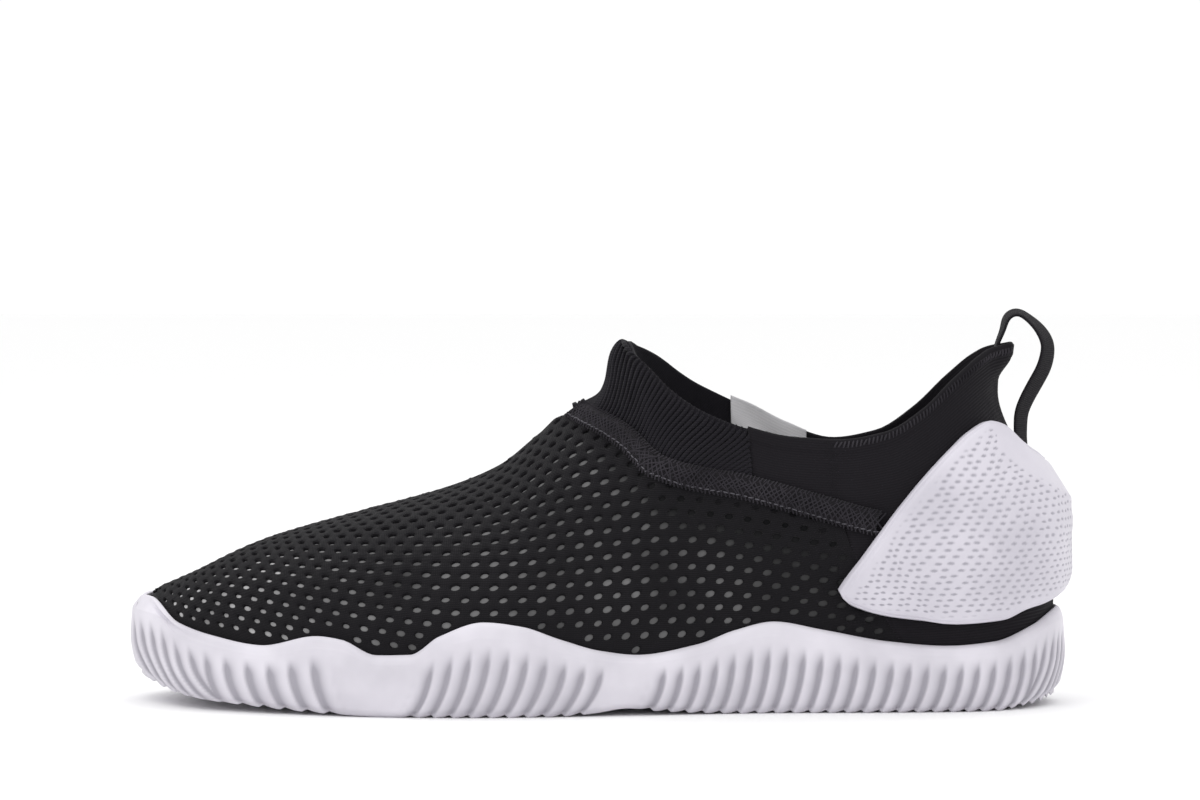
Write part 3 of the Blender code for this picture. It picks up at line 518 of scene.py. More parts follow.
print("the seam leaves the ridge at turn", round(seam_start(side_line(SEAM_LINE)), 3))


# %% A walk over the skin
WALK_STEPS = 12


def walk(u, v, way, distance):
    """Moves across the skin from u, v by a distance in a direction, over the ridge if need be."""
    for _ in range(WALK_STEPS):
        by_u = (skin(u + STEP, v) - skin(u - STEP, v)) / (2 * STEP)
        low = np.minimum(v, 1 - RIDGE_MARGIN) - STEP
        by_v = (skin(u, low + 2 * STEP) - skin(u, low)) / (2 * STEP)
        uu = (by_u * by_u).sum(-1)
        uv = (by_u * by_v).sum(-1)
        vv = (by_v * by_v).sum(-1)
        move = way * (distance / WALK_STEPS)
        mu = (by_u * move).sum(-1)
        mv = (by_v * move).sum(-1)
        size = uu * vv - uv * uv
        u = u + (vv * mu - uv * mv) / size
        v = v + (uu * mv - uv * mu) / size
        over = v > 1
        u = np.where(over, -u, u)
        v = np.where(over, 2 - v, v)
    return u, v


print("steps of a walk:", WALK_STEPS)


# %% [markdown]
# ## Camera, floor and light
# The shoe was seen from its outer side, from just above the floor and from far enough away that
# it hardly narrows with depth. A long lens at 1.6 m gives that view. The floor and the sky are
# both pale, so they run into each other, and wide soft lamps keep black cloth and white rubber
# both readable.

# %% Camera
VIEW_DISTANCE = 1.6
VIEW_ELEVATION = math.radians(2.6)
VIEW_AZIMUTH = math.radians(0.0)
VIEW_CENTRE = Vector((0.0, 0.0, 0.0911))
VIEW_WIDTH = 0.362
SENSOR_WIDTH = 36.0

camera_data = bpy.data.cameras.new("camera")
camera_data.sensor_width = SENSOR_WIDTH
camera_data.lens = SENSOR_WIDTH * VIEW_DISTANCE / VIEW_WIDTH
camera = bpy.data.objects.new("camera", camera_data)
bpy.context.scene.collection.objects.link(camera)
away = Vector(
    (
        math.sin(VIEW_AZIMUTH) * math.cos(VIEW_ELEVATION),
        -math.cos(VIEW_AZIMUTH) * math.cos(VIEW_ELEVATION),
        math.sin(VIEW_ELEVATION),
    )
)
camera.location = VIEW_CENTRE + away * VIEW_DISTANCE
camera.rotation_euler = (-away).to_track_quat("-Z", "Y").to_euler()
bpy.context.scene.camera = camera
print("lens in mm:", round(camera_data.lens, 1))

# %% Floor and sky
FLOOR_SIZE = 8.0
FLOOR_TONE = (0.97, 0.97, 0.97)
SKY_TONE = (1.0, 1.0, 1.0)
SKY_STRENGTH = 1.02

floor_mesh = bpy.data.meshes.new("floor")
half_floor = FLOOR_SIZE / 2
floor_mesh.from_pydata(
    [(x, y, 0.0) for x, y in ((-1, -1), (1, -1), (1, 1), (-1, 1))], [], [(0, 1, 2, 3)]
)
floor_mesh.transform(Matrix.Diagonal((half_floor, half_floor, 1.0, 1.0)))
floor = bpy.data.objects.new("floor", floor_mesh)
bpy.context.scene.collection.objects.link(floor)
floor_paint = bpy.data.materials.new("floor_paint")
floor_paint.use_nodes = True
floor_inputs = floor_paint.node_tree.nodes["Principled BSDF"].inputs
floor_inputs["Base Color"].default_value = (*FLOOR_TONE, 1)
floor_inputs["Roughness"].default_value = 0.9
floor_inputs["Specular IOR Level"].default_value = 0.1
floor_mesh.materials.append(floor_paint)

sky = bpy.data.worlds.new("sky")
sky.use_nodes = True
sky.node_tree.nodes["Background"].inputs["Color"].default_value = (*SKY_TONE, 1)
sky.node_tree.nodes["Background"].inputs["Strength"].default_value = SKY_STRENGTH
bpy.context.scene.world = sky
bpy.context.scene.view_settings.view_transform = "Standard"
print("floor side in m:", FLOOR_SIZE)

# %% Lamps
# name, place, side and watts
LAMP_ROWS = [
    ("key", (-0.45, -0.65, 1.10), 0.6, 2.6),
    ("top", (0.10, 0.30, 1.25), 0.9, 3.0),
]
for name, place, size, watts in LAMP_ROWS:
    lamp = bpy.data.lights.new(name, "AREA")
    lamp.size = size
    lamp.energy = watts
    holder = bpy.data.objects.new(name, lamp)
    holder.location = place
    aim = Vector((0.0, 0.0, 0.04)) - holder.location
    holder.rotation_euler = aim.to_track_quat("-Z", "Y").to_euler()
    bpy.context.scene.collection.objects.link(holder)
print("lamps:", len(LAMP_ROWS))

# %% [markdown]
# ## Making a mesh from a rule
# Most of the shoe is a sheet laid over the last. A sheet is easiest as a grid of points, row
# after row, so one helper turns a grid into a mesh. Each point also keeps where it lies on the
# cloth, in metres along and up, as an attribute. Weaves are drawn from that attribute, so they
# follow the cloth and never slide, which plain object coordinates would do on a curved surface.

# %% Helpers for sheets
shoe = bpy.data.collections.new("water_shoe")
bpy.context.scene.collection.children.link(shoe)


def add_piece(name, mesh, materials, slot, *solids):
    """Links a finished mesh as a piece of the shoe, in place of the solids that it dresses."""
    for material in materials:
        mesh.materials.append(material)
    piece = bpy.data.objects.new(name, mesh)
    shoe.objects.link(piece)
    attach(piece, "root")
    if solids:
        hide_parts(*solids)
    return piece


def keep_value(mesh, key, values):
    """Keeps one number on each point of a mesh."""
    mesh.attributes.new(key, "FLOAT", "POINT").data.foreach_set("value", values.ravel())


def mesh_of(name, points, faces, cloth=None):
    """A smooth-shaded mesh. cloth gives each point its place on the cloth."""
    mesh = bpy.data.meshes.new(name)
    mesh.from_pydata(np.asarray(points).reshape(-1, 3).tolist(), [], faces)
    if cloth is not None:
        spot = mesh.attributes.new("cloth", "FLOAT_VECTOR", "POINT")
        flat = np.asarray(cloth, float).reshape(-1, 2)
        flat = np.column_stack([flat, np.zeros(len(flat))])
        spot.data.foreach_set("vector", flat.ravel())
    mesh.shade_smooth()
    return mesh


def grid_faces(rows, across, closed_across=False, first=0):
    """Quads between neighbouring rows of a grid whose points are numbered row by row."""
    last = across if closed_across else across - 1
    i = np.arange(rows - 1)[:, None] * across
    j = np.arange(last)[None, :]
    k = (j + 1) % across
    quads = np.stack([i + j, i + k, i + across + k, i + across + j], -1)
    return (quads.reshape(-1, 4) + first).tolist()


def clean(mesh, weld=1e-6, turn_out=True):
    """Welds points that coincide, drops collapsed faces and turns closed meshes outwards."""
    work = bmesh.new()
    work.from_mesh(mesh)
    bmesh.ops.remove_doubles(work, verts=work.verts[:], dist=weld)
    bmesh.ops.dissolve_degenerate(work, edges=work.edges[:], dist=weld)
    if turn_out:
        bmesh.ops.recalc_face_normals(work, faces=work.faces[:])
    work.to_mesh(mesh)
    work.free()
    mesh.shade_smooth()
    return mesh


def ring_piece(name, rings, cloth=None, caps=True, **values):
    """A closed solid lofted through rings of points, with any values kept on its points."""
    rings = np.asarray(rings, float)
    count, around = rings.shape[:2]
    faces = grid_faces(count, around, closed_across=True)
    if caps:
        faces.append(list(range(around)))
        faces.append(list(range((count - 1) * around, count * around)))
    mesh = mesh_of(name, rings, faces, cloth)
    for key, kept in values.items():
        keep_value(mesh, key, kept)
    return clean(mesh)


def look_away(mesh, height):
    """Turns an open sheet's faces away from the inside of the shoe, at a given height."""
    total = sum(
        face.area * face.normal.dot(face.center - Vector((face.center.x, 0.0, height)))
        for face in mesh.polygons
    )
    if total < 0:
        mesh.flip_normals()
    return mesh


print("helpers ready")


# %% [markdown]
# ## Finishes
# Black cloth on a white ground is hard: a plain black looks like a hole. Real knit is matt, a
# little uneven, and its loops catch light at their edges; here that highlight is painted, as paler
# loop tips in the base colour. Each finish below gets its colour and roughness on the shader, and
# its grain from small node groups that work in real lengths, so a loop is a millimetre wide on
# every piece that wears it.

# %% Node helpers
def link(tree, source, target):
    tree.links.new(source, target)


def add_node(tree, kind, settings=None, **inputs):
    """A new node. Each named input takes a value, or a link from a socket or a node."""
    made = tree.nodes.new(kind)
    for key, value in (settings or {}).items():
        setattr(made, key, value)
    for key, value in inputs.items():
        socket = made.inputs[key.replace("_", " ")]
        if isinstance(value, bpy.types.Node):
            value = value.outputs[0]
        if isinstance(value, bpy.types.NodeSocket):
            link(tree, value, socket)
        else:
            socket.default_value = value
    return made


def math_node(tree, operation, first, second=None, third=None, clamp=False):
    """A Math node whose inputs are sockets or numbers."""
    node = tree.nodes.new("ShaderNodeMath")
    node.operation = operation
    node.use_clamp = clamp
    for socket, value in zip(node.inputs, (first, second, third)):
        if value is None:
            continue
        if isinstance(value, (int, float)):
            socket.default_value = value
        else:
            link(tree, value, socket)
    return node.outputs[0]


def new_group(name, inputs, outputs):
    """An empty shader group with named inputs and outputs."""
    group = bpy.data.node_groups.new(name, "ShaderNodeTree")
    for socket, kind, value in inputs:
        made = group.interface.new_socket(socket, in_out="INPUT", socket_type=kind)
        if value is not None:
            made.default_value = value
    for socket, kind in outputs:
        group.interface.new_socket(socket, in_out="OUTPUT", socket_type=kind)
    entry = group.nodes.new("NodeGroupInput")
    leave = group.nodes.new("NodeGroupOutput")
    return group, entry, leave


VECTOR = "NodeSocketVector"
FLOAT = "NodeSocketFloat"


def knit_group():
    """Rows of knitted loops: a height that bulges along each column and dips between rows."""
    group, entry, leave = new_group(
        "knit_loops",
        [
            ("Place", VECTOR, None),
            ("Column", FLOAT, 0.0010),
            ("Row", FLOAT, 0.0008),
            ("Slant", FLOAT, 0.35),
        ],
        [("Height", FLOAT)],
    )
    split = add_node(group, "ShaderNodeSeparateXYZ", Vector=entry.outputs["Place"])
    column = math_node(group, "DIVIDE", split.outputs["X"], entry.outputs["Column"])
    row = math_node(group, "DIVIDE", split.outputs["Y"], entry.outputs["Row"])
    side = math_node(group, "PINGPONG", column, 0.5)
    slant = math_node(group, "MULTIPLY", side, entry.outputs["Slant"])
    slanted = math_node(group, "ADD", row, slant)
    across = math_node(group, "SINE", math_node(group, "MULTIPLY", side, 2 * math.pi))
    up = math_node(group, "SINE", math_node(group, "MULTIPLY", slanted, 2 * math.pi))
    up = math_node(group, "MULTIPLY_ADD", up, 0.5, 0.5)
    height = math_node(group, "MULTIPLY", across, up)
    link(group, height, leave.inputs["Height"])
    return group


def grain_group():
    """Fine noise in object space, for the grain of moulded rubber and the fuzz of yarn."""
    group, entry, leave = new_group(
        "fine_grain",
        [("Size", FLOAT, 0.0006), ("Detail", FLOAT, 4.0)],
        [("Height", FLOAT), ("Patches", FLOAT)],
    )
    place = add_node(group, "ShaderNodeTexCoord").outputs["Object"]
    scale = math_node(group, "DIVIDE", 1.0, entry.outputs["Size"])
    noise = "ShaderNodeTexNoise"
    fine = add_node(group, noise, Vector=place, Scale=scale, Detail=entry.outputs["Detail"])
    broad = add_node(group, noise, Vector=place, Scale=45.0, Detail=3.0)
    link(group, fine.outputs["Fac"], leave.inputs["Height"])
    link(group, broad.outputs["Fac"], leave.inputs["Patches"])
    return group


KNIT = knit_group()
GRAIN = grain_group()
print("groups:", KNIT.name, GRAIN.name)

# %% Finish makers
def new_finish(name, roughness, specular, sheen=0.0):
    material = bpy.data.materials.new(name)
    material.use_nodes = True
    shader = material.node_tree.nodes["Principled BSDF"]
    shader.inputs["Roughness"].default_value = roughness
    shader.inputs["Specular IOR Level"].default_value = specular
    shader.inputs["Sheen Weight"].default_value = sheen
    shader.inputs["Sheen Roughness"].default_value = 0.4
    return material, material.node_tree, shader


def use_group(tree, group, **values):
    node = tree.nodes.new("ShaderNodeGroup")
    node.node_tree = group
    for name, value in values.items():
        node.inputs[name].default_value = value
    return node


def two_tones(tree, shader, mask, dark, light):
    """Base Color runs from one tone to another with a mask."""
    mix = tree.nodes.new("ShaderNodeMix")
    mix.data_type = "RGBA"
    mix.inputs["A"].default_value = (*dark, 1)
    mix.inputs["B"].default_value = (*light, 1)
    link(tree, mask, mix.inputs["Factor"])
    link(tree, mix.outputs["Result"], shader.inputs["Base Color"])


def bump(tree, shader, height, depth, strength=1.0):
    """Bump from a height of 0 to 1 that stands for a real depth."""
    node = add_node(tree, "ShaderNodeBump", Distance=depth, Strength=strength, Height=height)
    link(tree, node.outputs["Normal"], shader.inputs["Normal"])


def stretched(mask, tree, low, high):
    """Spreads the middle of a noise over the whole of 0 to 1."""
    node = add_node(tree, "ShaderNodeMapRange", From_Min=low, From_Max=high, Value=mask)
    return node.outputs["Result"]


def kept_on_points(tree, name):
    """What reads an attribute that the points carry: its Vector or its Fac."""
    return add_node(tree, "ShaderNodeAttribute", {"attribute_name": name}).outputs


def knit_finish(name, dark, light, column, row, slant, depth, fuzz=0.25):
    """Knitted or woven cloth: loops in the bump, their tips painted a little paler as a painted
    highlight, and some fuzz.
    """
    material, tree, shader = new_finish(name, 0.88, 0.12, sheen=0.06)
    knit = use_group(tree, KNIT, Column=column, Row=row, Slant=slant)
    link(tree, kept_on_points(tree, "cloth")["Vector"], knit.inputs["Place"])
    grain = use_group(tree, GRAIN, Size=column * 0.5)
    rough = math_node(tree, "MULTIPLY", grain.outputs["Height"], fuzz)
    height = math_node(tree, "ADD", knit.outputs["Height"], rough)
    # Painted highlight: the loop crests, in broad patches, take the paler tone
    mask = math_node(tree, "MULTIPLY", knit.outputs["Height"], grain.outputs["Patches"], clamp=True)
    two_tones(tree, shader, mask, dark, light)
    bump(tree, shader, height, depth)
    return material


def moulded_finish(name, dark, light, size, depth, roughness, specular=0.4, cavity=None):
    """Moulded rubber or plastic: a fine grain, faint cloudy patches and painted shade that darkens
    the hollows.
    """
    material, tree, shader = new_finish(name, roughness, specular)
    grain = use_group(tree, GRAIN, Size=size)
    patches = stretched(grain.outputs["Patches"], tree, 0.35, 0.65)
    # Painted shade: the larger the kept hollow share, the nearer the colour runs to the dark tone
    if cavity:
        kept = math_node(tree, "MULTIPLY_ADD", kept_on_points(tree, cavity)["Fac"], -1.6, 1.0)
        patches = math_node(tree, "MULTIPLY_ADD", patches, 0.35, 0.65)
        patches = math_node(tree, "MULTIPLY", patches, kept)
    two_tones(tree, shader, patches, dark, light)
    bump(tree, shader, grain.outputs["Height"], depth)
    return material


def lining_finish(name, dark, light):
    """A thin lining that is pale in front and darker behind, with uneven patches; the darkening is
    partly painted shade.
    """
    material, tree, shader = new_finish(name, 0.85, 0.12)
    grain = use_group(tree, GRAIN, Size=0.0009)
    pale = kept_on_points(tree, "pale")["Fac"]
    patches = stretched(grain.outputs["Patches"], tree, 0.30, 0.62)
    uneven = math_node(tree, "MULTIPLY_ADD", patches, 0.75, 0.25)
    two_tones(tree, shader, math_node(tree, "MULTIPLY", pale, uneven), dark, light)
    bump(tree, shader, grain.outputs["Height"], 0.0001)
    return material


print("finish makers ready")

# %% Finishes
# Both moulded finishes paint shade into their hollows: the sole's grooves and the clip's dimples
SOLE_RUBBER = moulded_finish(
    "sole_rubber", (0.36, 0.345, 0.39), (0.70, 0.675, 0.735),
    0.0005, 0.00004, 0.48, cavity="cavity"
)
CLIP_PLASTIC = moulded_finish(
    "clip_plastic", (0.40, 0.385, 0.44), (0.64, 0.615, 0.68),
    0.0004, 0.00003, 0.36, cavity="dimple"
)
MESH_BLACK = knit_finish(
    "mesh_yarn", (0.0075, 0.007, 0.0085), (0.022, 0.02, 0.023),
    0.0009, 0.0006, 0.3, 0.00016
)
LINING_PALE = lining_finish(
    "lining_pale", (0.006, 0.006, 0.007), (0.80, 0.79, 0.80)
)
LINING_DARK = knit_finish(
    "lining_dark", (0.008, 0.0075, 0.009), (0.02, 0.018, 0.021),
    0.0007, 0.0007, 0.0, 0.0001
)
STRETCH = knit_finish(
    "stretch_cloth", (0.0085, 0.0075, 0.0095), (0.02, 0.018, 0.022),
    0.00055, 0.0012, 0.2, 0.00007
)
RIB_YARN = knit_finish(
    "rib_yarn", (0.010, 0.009, 0.012), (0.03, 0.028, 0.034),
    0.0006, 0.0007, 0.5, 0.0001
)
SEAM_YARN = knit_finish(
    "seam_yarn", (0.009, 0.008, 0.010), (0.03, 0.028, 0.032),
    0.0007, 0.0005, 0.4, 0.0002, 0.8
)
THREAD_DARK = moulded_finish(
    "thread_dark", (0.012, 0.011, 0.014), (0.035, 0.032, 0.038),
    0.0002, 0.00005, 0.8, 0.12
)
THREAD_GREY = moulded_finish(
    "thread_grey", (0.05, 0.047, 0.055), (0.12, 0.115, 0.13),
    0.0002, 0.00005, 0.8, 0.15
)
WEBBING = knit_finish(
    "webbing", (0.0085, 0.0075, 0.0095), (0.024, 0.022, 0.026),
    0.0011, 0.0006, 0.5, 0.00014
)
LABEL_TWILL = knit_finish(
    "label_twill", (0.70, 0.69, 0.71), (0.88, 0.87, 0.89),
    0.0007, 0.0005, 0.9, 0.00006
)
INSOLE_FOAM = knit_finish(
    "insole_cloth", (0.012, 0.012, 0.014), (0.035, 0.035, 0.04),
    0.0010, 0.0008, 0.3, 0.0001
)
print("finishes:", len(bpy.data.materials))


# %% [markdown]
# ## The cup sole
# The sole is moulded in one piece: a floor with a wall round it, ribs on the wall and lugs
# beneath. The solid has one groove per rib and flat facets. A maker's mould is rounder, so here
# the same outline, rim and tread are walked at ten stations a rib, the grooves get a soft round
# bottom that sweeps back towards the heel, and the rim rolls over in a smooth bead.

# %% Side ribs
# Ribs round the side: stretch of |u| and how many ribs stand in it. 0 ribs is a smooth stretch.
RIB_RUNS = [
    (0, 0.14, 7), (0.14, 0.27, 6), (0.27, 0.35, 0), (0.35, 0.52, 10), (0.52, 0.56, 0),
    (0.56, 0.924, 23), (0.924, 1, 5),
]
GROOVE_DEPTH = 0.00105
GROOVE_SWEEPS = (0.034, 0.0130, 0.0, -0.0200, 0.0, -0.0120, -0.0300)
SWEEP_POWER = 2.6
GROOVE_FADE = (0.50, 0.80)
STEP_SHARE = 0.20
LUG_NOTCH = 0.0008
NOTCH_TOP = 0.16
NOTCH_TURNS = (0.13, 0.20)


def groove_depths(turns, heights):
    """How deep the side is cut, 0 to 1: each rib slopes in slowly, then steps out to the next."""
    depth = np.zeros((len(turns), len(heights)))
    sweep_shape = (1 - heights) ** SWEEP_POWER
    for (start, end, ribs), sweep in zip(RIB_RUNS, GROOVE_SWEEPS):
        if ribs == 0:
            continue
        pitch = (end - start) / ribs
        phase = (turns[:, None] - start - sweep * sweep_shape[None, :]) / pitch
        inside = ramp(phase, -0.2, 0.3) * (1 - ramp(phase, ribs - 0.3, ribs + 0.2))
        if start == 0:
            inside = inside * ramp(phase, 0.3, 1.0)
        share = phase % 1
        share = 1 - share if sweep > 0 else share
        slow = (share / (1 - STEP_SHARE)) ** 2
        saw = np.where(share < 1 - STEP_SHARE, slow, (1 - share) / STEP_SHARE)
        depth = np.maximum(depth, saw * inside)
    return depth


print("ribs on each side:", sum(run[-1] for run in RIB_RUNS))


# %% Rounded profile
def rounded_run(points, counts):
    """Catmull-Rom through a few points (stations, points, 3), with so many new points per span."""
    ends = [2 * points[:, 0] - points[:, 1]] + [points[:, i] for i in range(points.shape[1])]
    ends.append(2 * points[:, -1] - points[:, -2])
    out = []
    for k, count in enumerate(counts):
        a, b, c, d = ends[k : k + 4]
        for t in np.arange(count) / count:
            out.append(
                0.5 * (
                    2 * b + (c - a) * t + (2 * a - 5 * b + 4 * c - d) * t**2
                    + (3 * b - a - 3 * c + d) * t**3
                )
            )
    out.append(points[:, -1])
    return np.stack(out, 1)


print("a rounded run takes any count of points per span")

# %% One side of the sole
# The outer face of the sole's wall: height share, inset in walls, and how far ribs cut in.
SIDE = ("height", "inset", "rib")
SIDES = [
    (0, 1, 0), (0.1, 0.4, 1), (0.45, 0, 1), (0.73, 0.1, 0.8), (0.88, 0.22, 0),
]

# Rows down the inside of the sole's wall, as shares of the way from its floor to its rim
CUP_ROWS = (0.8, 0.5)

LOW_ROWS = (0, 0.015, 0.035, 0.06, 0.09, 0.12, 0.16, 0.20)
SIDE_ROWS = np.array([*LOW_ROWS, *np.arange(0.25, 0.84, 0.045), 0.85])
RIB_STEPS = 16
PLAIN_STEP = 0.004
UNDER_SHARES = np.linspace(0.97, 0.03, 27)
LUG_ZONE = (0.36, 0.30)


def sole_stations():
    turns = []
    for start, end, ribs in RIB_RUNS:
        steps = ribs * RIB_STEPS if ribs else round((end - start) / PLAIN_STEP)
        turns.append(start + (end - start) * np.arange(steps) / steps)
    return np.concatenate([*turns, [1.0]])


def fine_side(turns, side):
    u = turns * side
    across = np.ones((1, len(SIDE_ROWS)))
    inset = smooth(column(SIDE, SIDES, "height"), column(SIDE, SIDES, "inset"), SIDE_ROWS)
    fade = 1 - ramp(SIDE_ROWS, *GROOVE_FADE)
    low_fade = 0.35 + 0.65 * ramp(SIDE_ROWS, 0.0, 0.08)
    grooves = groove_depths(turns, SIDE_ROWS)
    cut = SOLE_WALL * inset[None, :] + GROOVE_DEPTH * grooves * fade * low_fade
    point, _ = outline(u[:, None] * across, cut)
    plain, _ = outline(u)
    rim = rim_height(plain[:, 0], u)
    tread = tread_height(plain[:, 0], plain[:, 1])
    z = tread[:, None] + (rim - tread)[:, None] * SIDE_ROWS[None, :]
    notch = grooves * (1 - ramp(SIDE_ROWS, 0.0, NOTCH_TOP))[None, :]
    notch = notch * ramp(turns, *NOTCH_TURNS)[:, None]
    z = z + LUG_NOTCH * notch
    wall = np.concatenate([point, z[..., None]], -1)
    lip_v = up_to(u, lambda x, at: rim_height(x, at) - SOLE_LIP_DROP)
    edge_v = up_to(u, rim_height)
    lip = upper_point(u, lip_v, GAP + SOLE_LIP)
    edge = upper_point(u, edge_v, GAP + SOLE_LIP_DROP / 3)
    inner = [upper_point(u, edge_v * share, GAP + CUP_EASE) for share in CUP_ROWS]
    roll = rounded_run(np.stack([wall[:, -2], wall[:, -1], lip, edge, inner[0]], 1), (1, 6, 6, 2))
    base, _ = outline(u, np.full(u.shape, SOLE_WALL))
    floor_edge = np.column_stack([base, bed_height(base[:, 0])])
    ring = np.concatenate([wall[:, :-2], roll, inner[1][:, None], floor_edge[:, None]], 1)
    # The grooves' depth is kept on the points as painted shade: the rubber is painted darker in them
    cavity = np.zeros(ring.shape[:2])
    cavity[:, : len(SIDE_ROWS)] = grooves * fade * low_fade
    return ring, cavity, grooves[:, 0] * (0.4 + 0.6 * ramp(turns, *NOTCH_TURNS))


print("stations round one side:", len(sole_stations()))


# %% Sole
def fine_sole():
    turns = sole_stations()
    outer, cavity, notches = fine_side(turns, -1)
    inner, _, _ = fine_side(turns, 1)
    middle = (outer[:, -1] + inner[:, -1]) / 2
    middle[0] = outer[0, -1]
    middle[-1] = outer[-1, -1]
    under = []
    for share in UNDER_SHARES:
        point = outer[:, 0] * (1 - share) + inner[:, 0] * share
        z = tread_height(point[:, 0], point[:, 1])
        side_zone = ramp(abs(share - 0.5), LUG_ZONE[1] / 2, LUG_ZONE[0] / 2)
        point[1:-1, 2] = (z + LUG_DEPTH * notches * side_zone)[1:-1]
        under.append(point)
    rings = np.concatenate([outer, middle[:, None], inner[:, ::-1], np.stack(under, 1)], 1)
    shade = np.zeros(rings.shape[:2])
    shade[:, : outer.shape[1]] = cavity
    shade[:, outer.shape[1] + 1 : 2 * outer.shape[1] + 1] = cavity[:, ::-1]
    return ring_piece("fine_sole", rings, caps=False, cavity=shade)


sole_mesh = fine_sole()
add_piece("fine_sole", sole_mesh, [SOLE_RUBBER], "sole_rubber", "sole")
print("sole faces:", len(sole_mesh.polygons))

# %% [markdown]
# ## The open mesh
# The vamp and the quarters are one knitted mesh with staggered holes. A Boolean cutter per hole
# would be slow and rough. Instead the cloth is laid flat, as a maker would cut it: one axis
# counts columns of holes round the foot, the other counts rows down from the ridge. The holes are
# drawn there as loops, a Delaunay triangulation fills the cloth between them, and the flat sheet
# is then wrapped on the last. Each hole gets a rolled lip and a short wall, and a pale lining
# shows through it.

# %% Lengths over the last
PANEL_END = 0.800
ARC_TURNS = np.linspace(-PANEL_END - 0.02, PANEL_END + 0.02, 329)
ARC_ROWS = np.linspace(0, 1, 141)


def section_lengths():
    """How far up each section every row of ARC_ROWS lies, in metres over the skin."""
    u = np.repeat(ARC_TURNS[:, None], len(ARC_ROWS), 1)
    points = skin(u, np.broadcast_to(ARC_ROWS, u.shape))
    steps = np.linalg.norm(np.diff(points, axis=1), axis=-1)
    return np.concatenate([np.zeros((len(ARC_TURNS), 1)), np.cumsum(steps, 1)], 1)


SECTION_LENGTHS = section_lengths()

ARC_SHARES = np.linspace(0, 1, 161)
ROW_OF_SHARE = np.array(
    [np.interp(ARC_SHARES, run / run[-1], ARC_ROWS) for run in SECTION_LENGTHS]
)
print("longest section in mm:", round(1000 * float(SECTION_LENGTHS[:, -1].max()), 1))

# %% Looking up lengths

def table_at(table, first, second):
    """The value between four neighbours of an even table, at a place in its rows and columns."""
    i, j = first.astype(int), np.minimum(second.astype(int), table.shape[1] - 2)
    s, t = first - i, second - j
    low = table[i, j] * (1 - t) + table[i, j + 1] * t
    high = table[i + 1, j] * (1 - t) + table[i + 1, j + 1] * t
    return low * (1 - s) + high * s


def arc_place(u):
    """Where u lies among ARC_TURNS, counted in stations."""
    step = ARC_TURNS[1] - ARC_TURNS[0]
    return np.clip((u - ARC_TURNS[0]) / step, 0, len(ARC_TURNS) - 1.001)


def girth_at(u):
    """The length of the whole section at u, from the sole's floor to the ridge or rim."""
    return np.interp(u, ARC_TURNS, SECTION_LENGTHS[:, -1])


def row_at(u, up):
    """The v of a point that lies a length up the section at u."""
    share = np.clip(up / girth_at(u), 0, 1) * (len(ARC_SHARES) - 1)
    return table_at(ROW_OF_SHARE, arc_place(u), share)


def length_up(u, v):
    """The length up the section at u of a row v."""
    row = np.clip(v, 0, 1) * (len(ARC_ROWS) - 1)
    return table_at(SECTION_LENGTHS, arc_place(u), row)


print("from the toe's edge to its ridge in mm:", round(1000 * float(girth_at(0.0)), 1))

# %% The row that all rows follow
# A row of holes as seen from the side, shares of the shoe's length and of the collar's height
HOLE_LINE = [
    (0, 0.312), (0.039, 0.309), (0.076, 0.299), (0.129, 0.284), (0.182, 0.265),
    (0.235, 0.246), (0.309, 0.224), (0.372, 0.21), (0.436, 0.209), (0.5, 0.213), (0.584, 0.218),
    (0.648, 0.217), (0.711, 0.209), (0.775, 0.194), (0.85, 0.18),
]
DATUM_ROWS = up_to(ARC_TURNS, side_line(HOLE_LINE))
DATUM_LENGTHS = length_up(ARC_TURNS, DATUM_ROWS)
DATUM_STEPS = np.linalg.norm(np.diff(skin(ARC_TURNS, DATUM_ROWS), axis=0), axis=-1)
DATUM_RUN = np.concatenate([[0], np.cumsum(DATUM_STEPS)])
DATUM_RUN -= np.interp(0, ARC_TURNS, DATUM_RUN)


def row_datum(u):
    """How far up the section at u the row lies that all the others are counted from."""
    return np.interp(u, ARC_TURNS, DATUM_LENGTHS)


print("length of the followed row in mm:", round(1000 * float(np.ptp(DATUM_RUN))))

# %% Sizes of the holes
HOLE_ROW = 0.00415
HOLE_PITCH = 0.0056
HOLE_STAGGER = 0.5
HOLE_SKEW = 0.07
HOLE_LONG = (0.00125, 0.00152)
HOLE_SHORT = (0.00098, 0.00094)
HOLE_SLANT = (math.radians(6), math.radians(27))
SHAPE_TURNS = (0.26, 0.44)
SIZE_SPREAD = 0.10
HOLE_SIDES = 14
LIP_SHARE = 1.42
EDGE_CLEAR = 0.0024
SOLE_CLEAR = 0.0012
SHUT_RIDGE = 0.010
SHUT_TOE = 0.075
SHUT_SEAM = 0.0070
# Holes are smaller at the toe and near the top: the least size, and what is gained further away
TOE_SIZE = (0.74, 0.26)
FULL_TURNS = (0.04, 0.16)
TOP_SIZE = (0.82, 0.18)
TOP_RUN = (0.003, 0.016)
print("holes are", 1000 * HOLE_PITCH, "by", 1000 * HOLE_ROW, "mm apart")

# %% Columns along the rows
def column_of(u):
    """The column of holes at u, counted from the toe along the row that all rows follow."""
    return np.interp(u, ARC_TURNS, DATUM_RUN) / HOLE_PITCH


OWN_COUNT_TURNS = (0.34, 0.46)
LEVELS = np.arange(-9, 22)


